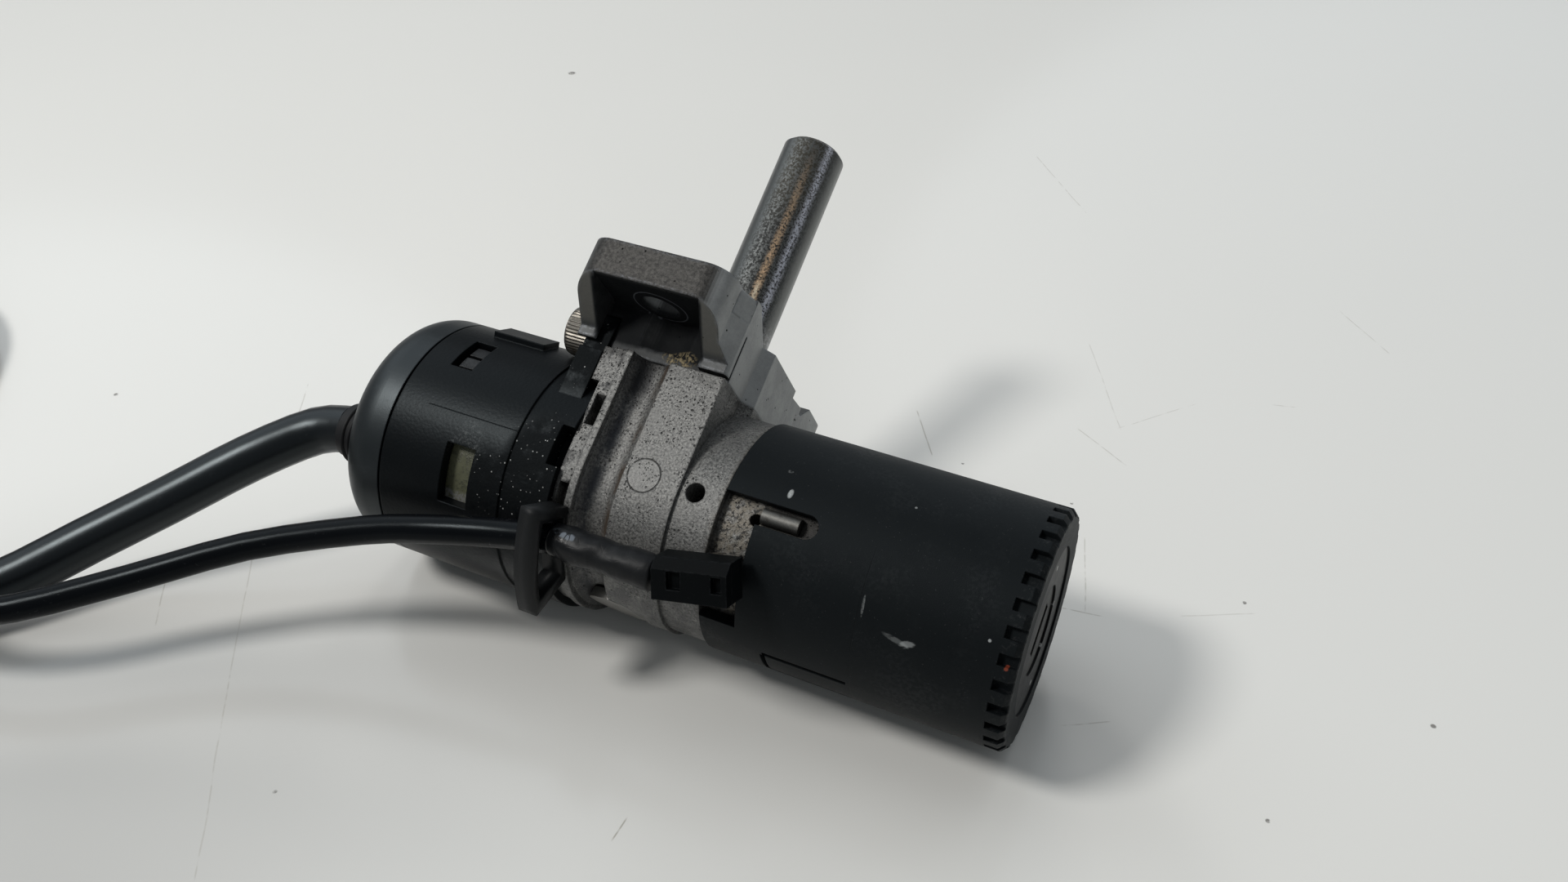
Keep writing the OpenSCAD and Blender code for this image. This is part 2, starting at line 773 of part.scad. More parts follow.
// Slope that joins the near ear's front wall to the body
module gusset_slope() {
    intersection() {
        gusset(ear_front - gusset_t, block_front, bracket_top, near_reach, 1);
        up_bolt(0, ear_top) polygon([
            [ear_front - gusset_t, gusset_from - 1], [block_front, gusset_from - 1], [block_front, gusset_from],
            [ear_front, gusset_from + gusset_blend], [ear_front - gusset_t, gusset_from + gusset_blend]
        ]);
    }
}

module mounting_bracket() color(dark_zinc) set_down() difference() {
    union() {
        intersection() {
            across(ear_rear, boss_front) bracket_side();
            up_bolt(0, ear_top + overcut) bracket_plan();
        }
        intersection() {
            union() {
                gusset(ear_rear, ear_rear + gusset_t, ear_under + overcut, near_reach, 1);
                gusset(ear_front - gusset_t, ear_front, ear_under + overcut, near_reach, 1);
            }
            up_bolt(0, ear_top) rounded_plan(ear_rear, ear_front, gusset_from, near_reach, ear_corner);
        }
        intersection() {
            union() {
                gusset(ear_rear + far_inset, ear_rear + far_inset + gusset_t, ear_under + overcut, near_reach, -1);
                gusset(ear_front - gusset_t, ear_front, ear_under + overcut, near_reach, -1);
            }
            up_bolt(0, ear_top) mirror([0, 1]) rounded_plan(ear_rear, ear_front, 0, far_reach, ear_corner);
        }
        gusset_slope();
    }
    across(ear_rear - overcut, bracket_rear) {
        tab_outline(tab_gap);
        circle(switch_r + tab_gap);
    }
    translate([0, screw_rise, screw_n]) along_x(ear_rear - overcut, tab_rear, screw_head_d / 2 + tab_gap);
    translate([bolt_x, 0, 0]) along_bolt(joint_rise - overcut, bracket_top + overcut, bolt_r + run_gap);
    for (n = [near_hole, -far_hole])
        translate([ear_mid, 0, n]) along_bolt(ear_under - overcut, ear_top + overcut, ear_hole_d / 2);
    translate([scoop_x, 0, near_hole]) along_bolt(scoop_floor, ear_under, scoop_r);
    bracket_screw_row(joint_rise - overcut, bracket_top + ear_t, bracket_screw_d / 2 + run_gap);
    bracket_screw_row(bracket_top - bracket_screw_sink, bracket_top + ear_t, bracket_screw_head / 2 + 0.4);
    translate([0, screw_rise, screw_n])
        along_x(bracket_rear - overcut, bracket_rear + screw_bite + 0.4, screw_d / 2 + run_gap);
}

module socket_head(r, h) {
    difference() {
        cylinder(h = h, r = r);
        translate([0, 0, h * 0.4]) cylinder(h = h, r = r * 0.52, $fn = 6);
    }
}

module bracket_screws() color(steel) set_down()
    for (p = bracket_screw_at)
        translate([p[0], bracket_top - bracket_screw_sink, p[1]]) rotate([-90, 0, 0]) {
            socket_head(bracket_screw_head / 2, bracket_screw_sink - 0.4);
            translate([0, 0, -bracket_h + bracket_screw_sink - bracket_screw_bite])
                cylinder(h = bracket_h - bracket_screw_sink + bracket_screw_bite, d = bracket_screw_d);
        }

// Switch

module window(angles, xs) {
    across(xs[0], xs[1]) difference() {
        wedge(angles[0], angles[1], switch_r + overcut);
        circle(switch_in - overcut);
    }
}

module tab_outline(grow) {
    tab_half = screw_head_d / 2 + 0.6 + grow;
    translate([screw_rise, screw_n]) circle(tab_half);
    translate([0, screw_n - tab_half]) square([screw_rise, 2 * tab_half]);
    translate([0, screw_n]) square([joint_rise - 1, tab_n - screw_n]);
}

module switch_housing() color(black) set_down() difference() {
    union() {
        along_x(switch_rear, switch_front - switch_neck, switch_r);
        along_x(switch_front - switch_neck - overcut, switch_front, neck_r);
        across(tab_rear, bracket_rear) tab_outline(0);
        at_angle(rib_angle) translate([window_high_x[0] + 1, -2.5, switch_r - 1]) cube([10.5, 5, 2]);
    }
    along_x(switch_rear - overcut, switch_front - 2.4, switch_in);
    along_x(switch_rear, switch_front + overcut, rotor_hub_r + 0.6);
    window(window_low, window_low_x);
    window(window_high, window_high_x);
    across(switch_front - 2.2, switch_front + overcut) difference() {
        wedge(-9, 10, switch_r + overcut);
        circle(switch_in - 1.6);
    }
    translate([0, screw_rise, screw_n])
        along_x(tab_rear - overcut, bracket_rear + overcut, screw_d / 2 + 0.25);
    translate([bracket_rear, joint_rise, -switch_r])
        cube([switch_front + overcut - bracket_rear, switch_r, 2 * switch_r]);
    lug(run_gap);
}

module switch_screw() color(steel) set_down()
    translate([tab_rear, screw_rise, screw_n]) rotate([0, -90, 0]) {
        socket_head(screw_head_d / 2, screw_d);
        translate([0, 0, -tab_t - screw_bite]) cylinder(h = tab_t + screw_bite, d = screw_d);
    }

module snap_hook(angles) {
    across(window_high_x[0] + hook_gap, window_high_x[1] - hook_gap / 2) difference() {
        intersection() {
            wedge(angles[0], angles[1], switch_r);
            circle(switch_r - hook_sink);
        }
        circle(carrier_r - carrier_wall / 2);
    }
}

module contact_carrier() color(insert) set_down() difference() {
    union() {
        along_x(carrier_rear, carrier_front, carrier_r);
        for (a = hook_angles)
            snap_hook(a);
    }
    along_x(carrier_rear - overcut, carrier_floor, carrier_r - carrier_wall);
    along_x(carrier_floor + carrier_floor_t, carrier_front + overcut, carrier_r - carrier_wall);
    along_x(carrier_rear, carrier_front, rotor_pivot_r + run_gap);
    terminal_row(run_gap);
}

module terminal_row(grow) {
    terminal_len = terminal_front - terminal_rear;
    for (i = [0:terminal_count - 1])
        at_angle(i * 360 / terminal_count)
            translate([terminal_rear, -terminal_w / 2 - grow, terminal_ring - terminal_t / 2 - grow])
                cube([terminal_len, terminal_w + 2 * grow, terminal_t + 2 * grow]);
}

module terminals() color(brass) set_down() terminal_row(0);

module switch_rotor() color([0.85, 0.82, 0.75]) set_down() difference() {
    union() {
        along_x(carrier_floor, rotor_disc, rotor_pivot_r);
        along_x(rotor_disc, rotor_disc + rotor_disc_t, rotor_r);
        along_x(rotor_disc, rotor_front, rotor_hub_r);
    }
    across(blade_rear - seat_gap, rotor_front + overcut)
        square([blade_h + 2 * run_gap, blade_t + 2 * run_gap], center = true);
}

module contact_bridges() color(brass) set_down()
    for (a = [30, 210])
        across(rotor_disc - bridge_t, rotor_disc) difference() {
            intersection() {
                circle(terminal_ring + 2);
                wedge(a, a + 100, rotor_r);
            }
            circle(terminal_ring - 2);
        }

// Rear cap and gland

module cap_profile() {
    translate([0, cap_rear]) square([switch_r - cap_round, cap_len]);
    translate([0, cap_rear + cap_round]) square([switch_r, cap_len - cap_round]);
    intersection() {
        translate([switch_r - cap_round, cap_rear + cap_round]) circle(cap_round);
        translate([0, cap_rear]) square([switch_r, cap_round]);
    }
}

module rear_cap() color(black) set_down() difference() {
    union() {
        turned() cap_profile();
        along_x(cap_front - overcut, switch_rear + 0.6, switch_in - 0.05);
    }
    along_x(cap_rear + cap_wall, switch_rear + overcut, switch_r - cap_round - 0.5);
    along_x(cap_rear + cap_round, switch_rear + overcut, switch_in - cap_wall);
    translate([0, gland_rise, gland_out]) along_x(cap_rear - overcut, cap_front, gland_r);
}

module cable_gland() color(black) set_down()
    translate([cap_rear, gland_rise, gland_out]) rotate([0, -90, 0]) {
        cylinder(h = gland_len, r1 = gland_r + 0.6, r2 = gland_tip_r);
        translate([0, 0, -cap_wall]) cylinder(h = cap_wall, r = gland_r - press_gap);
    }

// Key-in switch, its cable clip and the shrunk stub of its cable

module cable_clip() color(black) set_down() {
    difference() {
        across(clip_rear, clip_front) difference() {
            intersection() {
                circle(clip_out_r);
                wedge(clip_from, clip_to, clip_out_r);
            }
            circle(clip_base_r);
        }
        across(clip_rear - overcut, clip_front + overcut) difference() {
            intersection() {
                circle(clip_hole_out);
                wedge(clip_hole_from, clip_hole_to, clip_out_r);
            }
            circle(clip_hole_in);
        }
    }
}

module micro_outline(half) {
    polygon([
        [-half, 0], [half, 0], [half, micro_t], [-half + micro_bevel, micro_t], [-half, micro_t - micro_bevel]
    ]);
}

module micro_block(from, to) {
    intersection() {
        rotate([90, 0, 90]) translate([0, 0, -micro_len / 2]) linear_extrude(height = micro_len)
            mirror([1, 0]) micro_outline(micro_h / 2);
        translate([-micro_len, -micro_h, from]) cube([2 * micro_len, 2 * micro_h, to - from]);
    }
}

module micro_case() color(black) set_down() micro_frame() difference() {
    micro_block(0, micro_t - micro_cover_t);
    micro_holes(micro_hole_r, -overcut, micro_t);
    translate([0, 0, -overcut])
        cylinder(h = plunger_out + plunger_travel + overcut + seat_gap, r = plunger_r + run_gap);
}

module micro_cover() color(black) set_down() micro_frame() difference() {
    micro_block(micro_t - micro_cover_t, micro_t);
    micro_holes(micro_hole_r, 0, micro_t - micro_pin_cover);
    for (slot = micro_slots)
        translate([slot[0] - slot[1] / 2, -slot[2] / 2, micro_t - micro_slot_depth])
            cube([slot[1], slot[2], micro_slot_depth + overcut]);
}

module micro_pins() color(steel) set_down() micro_frame()
    micro_holes(micro_hole_r - press_gap, -micro_pin_sink, micro_t - micro_pin_cover);

module micro_plunger() color([0.8, 0.2, 0.15]) set_down() micro_frame()
    translate([0, 0, -plunger_out]) cylinder(h = 2 * plunger_out, r = plunger_r);

module cable_boot() color(black) set_down()
    at_angle(cable_angle) translate([0, 0, cable_ring]) along_x(boot_rear, boot_front, boot_r);

// Cables, with what the photograph doesn't show coiled beside the view

function lock_to_table(p) =
    let (y = p[1] * cos(lean) - p[2] * sin(lean), z = p[1] * sin(lean) + p[2] * cos(lean))
        [p[0] * cos(tilt) + z * sin(tilt), y, lift - p[0] * sin(tilt) + z * cos(tilt)];
function lock_way(d) = lock_to_table(d) - [0, 0, lift];
function along(a) = [cos(a), sin(a), 0];

main_exit = lock_to_table([cap_rear - gland_len, gland_rise, gland_out]);
sense_exit = lock_to_table(concat([boot_rear], ray(cable_angle, cable_ring)));
lock_rearward = lock_way([-1, 0, 0]);

module main_cable() color(black) on_table()
    tube(smooth(concat([main_exit], main_route), route_steps), main_d / 2, 10, [0, 0, 1],
        lock_rearward, along(coil_heading));

module sense_cable() color(black) on_table()
    tube(smooth(concat([sense_exit], sense_route), route_steps), sense_d / 2, 8, [0, 0, 1],
        lock_rearward, along(coil_heading));

// A coil that a cable enters at its route's last point
module coil_place(route, r) {
    last = route[len(route) - 1];
    translate([last[0], last[1]] + r * coil_turn * [-sin(coil_heading), cos(coil_heading)])
        rotate([0, 0, coil_heading - coil_turn * 90]) children();
}

module coil(d, r, top_arc) {
    rotate_extrude(angle = coil_turn * coil_low_arc) translate([r, tie_t + d / 2]) circle(d = d);
    rotate_extrude(angle = coil_turn * top_arc) translate([r, tie_t + 1.5 * d - layer_drop]) circle(d = d);
}

module tie_outline(d, r) {
    for (z = [tie_t + d / 2, tie_t + 1.5 * d])
        translate([0, z]) circle(r);
    translate([-r, tie_t + d / 2]) square([2 * r, d]);
}

module tie(d, r, at) {
    loop_r = d / 2 + tie_slack;
    rotate([0, 0, coil_turn * at]) translate([r, tie_w / 2, 0]) rotate([90, 0, 0])
        linear_extrude(height = tie_w) difference() {
            tie_outline(d, loop_r + tie_t - tie_slack);
            tie_outline(d, loop_r);
        }
}

module connector(size, d, r, top_arc) {
    foot = tie_t + d + plug_foot;
    entry = tie_t + 1.5 * d - layer_drop;
    rotate([0, 0, coil_turn * top_arc]) translate([r, 0, 0]) rotate([0, 0, coil_turn * 90]) {
        translate([0, 0, entry]) rotate([0, 90, 0]) cylinder(h = plug_neck, r = d / 2 + plug_lip);
        difference() {
            translate([plug_neck, -size[1] / 2, foot]) cube([size[0] - plug_neck, size[1], size[2]]);
            translate([size[0] - plug_mouth, -size[1] / 2 + plug_wall, foot + plug_wall])
                cube([size[0], size[1] - 2 * plug_wall, size[2] - 2 * plug_wall]);
        }
    }
}

module main_coil() color(black) on_table() coil_place(main_route, main_coil_r)
    coil(main_d, main_coil_r, main_top_arc);

module main_tie() color(black) on_table() coil_place(main_route, main_coil_r)
    tie(main_d, main_coil_r, main_tie_at);

module main_plug() color(black) on_table() coil_place(main_route, main_coil_r)
    connector(plug_main, main_d, main_coil_r, main_top_arc);

module sense_coil() color(black) on_table() coil_place(sense_route, sense_coil_r)
    coil(sense_d, sense_coil_r, sense_top_arc);

module sense_tie() color(black) on_table() coil_place(sense_route, sense_coil_r)
    tie(sense_d, sense_coil_r, sense_tie_at);

module sense_plug() color(black) on_table() coil_place(sense_route, sense_coil_r)
    connector(plug_sense, sense_d, sense_coil_r, sense_top_arc);

front_sleeve();
face_disc();
lock_barrel();
key_plug();
tumblers();
latch_pin();
latch_spring();
drive_shaft();
lock_housing();
bolt_cover();
lock_bolt();
bolt_slide();
bolt_spring();
mounting_bracket();
bracket_screws();
switch_housing();
switch_screw();
contact_carrier();
switch_rotor();
contact_bridges();
terminals();
rear_cap();
cable_gland();
cable_clip();
micro_case();
micro_cover();
micro_pins();
micro_plunger();
cable_boot();
main_cable();
main_coil();
main_tie();
main_plug();
sense_cable();
sense_coil();
sense_tie();
sense_plug();
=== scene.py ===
import math

import bmesh
import bpy
from mathutils import Matrix, Quaternion, Vector, noise


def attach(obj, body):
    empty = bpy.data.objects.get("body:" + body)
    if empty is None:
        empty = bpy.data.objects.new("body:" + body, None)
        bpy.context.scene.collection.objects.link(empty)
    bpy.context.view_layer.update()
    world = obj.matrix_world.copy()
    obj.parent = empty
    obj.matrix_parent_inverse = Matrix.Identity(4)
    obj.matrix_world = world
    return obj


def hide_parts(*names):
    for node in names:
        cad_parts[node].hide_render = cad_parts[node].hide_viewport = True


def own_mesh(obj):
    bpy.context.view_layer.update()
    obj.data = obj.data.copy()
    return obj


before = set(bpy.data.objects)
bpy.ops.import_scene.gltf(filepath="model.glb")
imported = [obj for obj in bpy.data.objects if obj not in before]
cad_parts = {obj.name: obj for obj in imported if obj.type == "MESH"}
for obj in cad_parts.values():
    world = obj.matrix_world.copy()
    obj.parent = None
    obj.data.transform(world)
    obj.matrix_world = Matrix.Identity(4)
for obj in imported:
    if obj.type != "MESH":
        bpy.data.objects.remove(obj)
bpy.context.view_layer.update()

# The lock's own frame, as part.scad sets it down: x along the lock, y along the bolt, z out of the face seen
MM = 0.001
TO_MM = 1000
LEAN = math.radians(32)
TILT = math.radians(1.0258)
CENTER = Vector((-61.578, 18.102, 0))
LIFT = 19.981
SET_DOWN = (
    Matrix.Translation((Vector((0, 0, LIFT)) - CENTER) * MM)
    @ Matrix.Rotation(TILT, 4, "Y")
    @ Matrix.Rotation(LEAN, 4, "X")
    @ Matrix.Scale(MM, 4)
)
SLEEVE_RADIUS = 20.0
SWITCH_RADIUS = 22.0
BOLT_X = -68.4
EAR_X = -73.9
NEAR_HOLE = 21.5
SCREW_Y, SCREW_Z = 22.6, 13.9
GLAND_Y, GLAND_Z = -5.5, 6
BOOT_END, BOOT_LONG, BOOT_RADIUS, BOOT_ANGLE = -75.2, 18.5, 24.8, math.radians(-35.5)
BOOT_Y, BOOT_Z = BOOT_RADIUS * math.sin(BOOT_ANGLE), BOOT_RADIUS * math.cos(BOOT_ANGLE)
TABLE_TOP = -0.45


def at_lock(x, y, z):
    return SET_DOWN @ Vector((x, y, z))


def on_table(point):
    return (Vector(point) - CENTER) * MM


# Camera, as solved from the photograph

LENS, SENSOR = 28.87, 36
CAMERA_AT = Vector((84.401, -157.746, 168.657)) * MM
CAMERA_AZIMUTH = math.radians(25.861)
CAMERA_ELEVATION = math.radians(38.787)
CAMERA_ROLL = math.radians(-1.192)

cam_data = bpy.data.cameras.new("camera")
cam_data.lens = LENS
cam_data.sensor_width = SENSOR
cam_data.clip_start = 5 * MM
cam = bpy.data.objects.new("camera", cam_data)
bpy.context.scene.collection.objects.link(cam)
back = Vector((math.sin(CAMERA_AZIMUTH), -math.cos(CAMERA_AZIMUTH), 0)) * math.cos(CAMERA_ELEVATION)
back.z = math.sin(CAMERA_ELEVATION)
cam.location = CAMERA_AT
cam.rotation_mode = "QUATERNION"
cam.rotation_quaternion = (-back).to_track_quat("-Z", "Y") @ Quaternion((0, 0, 1), CAMERA_ROLL)
bpy.context.scene.camera = cam


# Making pieces


def add_object(name, data, body="base"):
    obj = bpy.data.objects.new(name, data)
    bpy.context.scene.collection.objects.link(obj)
    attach(obj, body)
    return obj


def mesh_object(name, bm, material, body="base", smooth=True):
    bmesh.ops.recalc_face_normals(bm, faces=bm.faces[:])
    mesh = bpy.data.meshes.new(name)
    bm.to_mesh(mesh)
    bm.free()
    for poly in mesh.polygons:
        poly.use_smooth = smooth
    mesh.materials.append(material)
    return add_object(name, mesh, body)


def spline(a, b, c, d, t):
    """Catmull-Rom curve from b at 0 to c at 1."""
    bend = (2 * a - 5 * b + 4 * c - d) * t * t + (3 * b - a - 3 * c + d) * t ** 3
    return 0.5 * (2 * b + (c - a) * t + bend)


def smooth_route(points, steps):
    p = [Vector(v) for v in points]
    last = len(p) - 1
    out = []
    for i in range(last):
        for k in range(steps):
            out.append(spline(p[max(i - 1, 0)], p[i], p[i + 1], p[min(i + 2, last)], k / steps))
    return out + [p[last]]


def coil_points(center, start, radius, low, high, climb_from, climb_to, arc):
    """A clockwise turn on the table that climbs over its own start and goes on over itself by arc."""
    points = []
    for deg in range(8, 360 + arc + 1, 8):
        climb = min(max((deg - climb_from) / (climb_to - climb_from), 0), 1)
        climb = climb * climb * (3 - 2 * climb)
        a = start - math.radians(deg)
        x, y = center[0] + radius * math.cos(a), center[1] + radius * math.sin(a)
        points.append(Vector((x, y, low + (high - low) * climb)))
    return points


def cord_curve(name, points, diameter, material):
    curve = bpy.data.curves.new(name, "CURVE")
    curve.dimensions = "3D"
    curve.bevel_depth = diameter / 2 * MM
    curve.bevel_resolution = 7
    curve.use_fill_caps = True
    line = curve.splines.new("POLY")
    line.points.add(len(points) - 1)
    for point, p in zip(line.points, points):
        point.co = (*on_table(p), 1)
    line.use_smooth = True
    curve.materials.append(material)
    return add_object(name, curve)


# Shader nodes


def put(tree, socket, value):
    if isinstance(value, bpy.types.NodeSocket):
        tree.links.new(value, socket)
    elif isinstance(value, (int, float)) or not hasattr(socket.default_value, "__len__"):
        socket.default_value = value
    elif len(socket.default_value) == 4 and len(value) == 3:
        socket.default_value = (*value, 1)
    else:
        socket.default_value = value


class Look:
    """A Principled material under construction, with the lock's frame in millimetres at hand."""

    def __init__(self, name):
        self.material = bpy.data.materials.new(name)
        self.material.use_nodes = True
        self.tree = self.material.node_tree
        self.shader = self.tree.nodes["Principled BSDF"]
        coords = self.node("ShaderNodeTexCoord")
        self.world = coords.outputs["Object"]
        place = self.node("ShaderNodeMapping")
        place.vector_type = "TEXTURE"
        put(self.tree, place.inputs["Vector"], self.world)
        put(self.tree, place.inputs["Location"], (Vector((0, 0, LIFT)) - CENTER) * MM)
        put(self.tree, place.inputs["Rotation"], (LEAN, TILT, 0))
        put(self.tree, place.inputs["Scale"], (MM, MM, MM))
        self.lock = place.outputs["Vector"]
        split = self.node("ShaderNodeSeparateXYZ")
        put(self.tree, split.inputs[0], self.lock)
        self.x, self.y, self.z = split.outputs

    def node(self, kind):
        return self.tree.nodes.new(kind)

    def math(self, op, a, b=0.0):
        n = self.node("ShaderNodeMath")
        n.operation = op
        for socket, value in zip(n.inputs, (a, b)):
            put(self.tree, socket, value)
        return n.outputs[0]

    def add(self, *values):
        total = values[0]
        for v in values[1:]:
            total = self.math("ADD", total, v)
        return total

    def times(self, *values):
        total = values[0]
        for v in values[1:]:
            total = self.math("MULTIPLY", total, v)
        return total

    def inverse(self, a):
        return self.math("SUBTRACT", 1.0, a)

    def step(self, value, low, high):
        """Smoothly from 0 at low to 1 at high."""
        n = self.node("ShaderNodeMapRange")
        n.interpolation_type = "SMOOTHSTEP"
        flip = low > high
        put(self.tree, n.inputs["Value"], value)
        put(self.tree, n.inputs["From Min"], min(low, high))
        put(self.tree, n.inputs["From Max"], max(low, high))
        put(self.tree, n.inputs["To Min"], 1.0 if flip else 0.0)
        put(self.tree, n.inputs["To Max"], 0.0 if flip else 1.0)
        return n.outputs["Result"]

    def range(self, value, low, high):
        n = self.node("ShaderNodeMapRange")
        put(self.tree, n.inputs["Value"], value)
        put(self.tree, n.inputs["To Min"], low)
        put(self.tree, n.inputs["To Max"], high)
        return n.outputs["Result"]

    def band(self, value, low, high, soft):
        """1 between low and high, with soft edges."""
        rise = self.step(value, low - soft, low + soft)
        return self.times(rise, self.step(value, high + soft, high - soft))

    def noise(self, scale, detail=3.0, rough=0.55, vector=None):
        n = self.node("ShaderNodeTexNoise")
        put(self.tree, n.inputs["Vector"], self.lock if vector is None else vector)
        put(self.tree, n.inputs["Scale"], scale)
        put(self.tree, n.inputs["Detail"], detail)
        put(self.tree, n.inputs["Roughness"], rough)
        return n.outputs["Fac"]

    def cells(self, scale, feature="F1"):
        n = self.node("ShaderNodeTexVoronoi")
        n.feature = feature
        put(self.tree, n.inputs["Vector"], self.lock)
        put(self.tree, n.inputs["Scale"], scale)
        return n.outputs["Distance"]

    def stretched(self, sx, sy, sz):
        n = self.node("ShaderNodeMapping")
        put(self.tree, n.inputs["Vector"], self.lock)
        put(self.tree, n.inputs["Scale"], (sx, sy, sz))
        return n.outputs["Vector"]

    def mix(self, fac, a, b):
        n = self.node("ShaderNodeMix")
        n.data_type = "RGBA"
        put(self.tree, n.inputs[0], fac)
        put(self.tree, n.inputs[6], a)
        put(self.tree, n.inputs[7], b)
        return n.outputs[2]

    def length(self, u, v):
        return self.math("SQRT", self.add(self.times(u, u), self.times(v, v)))

    def radius(self):
        """Distance from the lock's axis."""
        return self.length(self.y, self.z)

    def arc(self, radius):
        """Length round the lock from the face direction towards the bolt."""
        return self.times(self.math("ARCTAN2", self.y, self.z), radius)

    def spot(self, u, v, u0, v0, half_u, half_v, turn=0.0):
        """1 inside an ellipse in two coordinates, falling to 0 at its edge."""
        c, s = math.cos(math.radians(turn)), math.sin(math.radians(turn))
        du = self.math("SUBTRACT", u, u0)
        dv = self.math("SUBTRACT", v, v0)
        a = self.math("DIVIDE", self.add(self.times(du, c), self.times(dv, s)), half_u)
        b = self.math("DIVIDE", self.add(self.times(dv, c), self.times(du, -s)), half_v)
        d = self.add(self.times(a, a), self.times(b, b))
        return self.step(d, 1.0, 0.35)

    def crevice(self, distance, low, high):
        """Towards 1 in corners and gaps."""
        n = self.node("ShaderNodeAmbientOcclusion")
        n.samples = 6
        put(self.tree, n.inputs["Distance"], distance * MM)
        return self.step(n.outputs["AO"], high, low)

    def bump(self, height, distance, strength=1.0, normal=None):
        n = self.node("ShaderNodeBump")
        put(self.tree, n.inputs["Height"], height)
        put(self.tree, n.inputs["Distance"], distance * MM)
        put(self.tree, n.inputs["Strength"], strength)
        if normal is not None:
            put(self.tree, n.inputs["Normal"], normal)
        return n.outputs["Normal"]

    def rounded(self, radius):
        n = self.node("ShaderNodeBevel")
        n.samples = 4
        put(self.tree, n.inputs["Radius"], radius * MM)
        return n.outputs["Normal"]

    def edges(self, radius, low=0.01, high=0.10):
        """Towards 1 along edges and corners."""
        n = self.node("ShaderNodeVectorMath")
        n.operation = "DOT_PRODUCT"
        put(self.tree, n.inputs[0], self.rounded(radius))
        put(self.tree, n.inputs[1], self.node("ShaderNodeNewGeometry").outputs["True Normal"])
        return self.step(self.inverse(n.outputs["Value"]), low, high)

    def facing(self, axis, low, high):
        """Towards 1 where the surface faces along a world axis."""
        n = self.node("ShaderNodeSeparateXYZ")
        put(self.tree, n.inputs[0], self.node("ShaderNodeNewGeometry").outputs["True Normal"])
        return self.step(n.outputs[axis], low, high)

    def done(self, color, roughness, metallic=0.0, normal=None, **others):
        put(self.tree, self.shader.inputs["Base Color"], color)
        put(self.tree, self.shader.inputs["Roughness"], roughness)
        put(self.tree, self.shader.inputs["Metallic"], metallic)
        if normal is not None:
            put(self.tree, self.shader.inputs["Normal"], normal)
        for name, value in others.items():
            put(self.tree, self.shader.inputs[name.replace("_", " ")], value)
        return self.material


# Materials

# tint of the black plastics' highlights
COOL = (0.84, 0.95, 1.0)


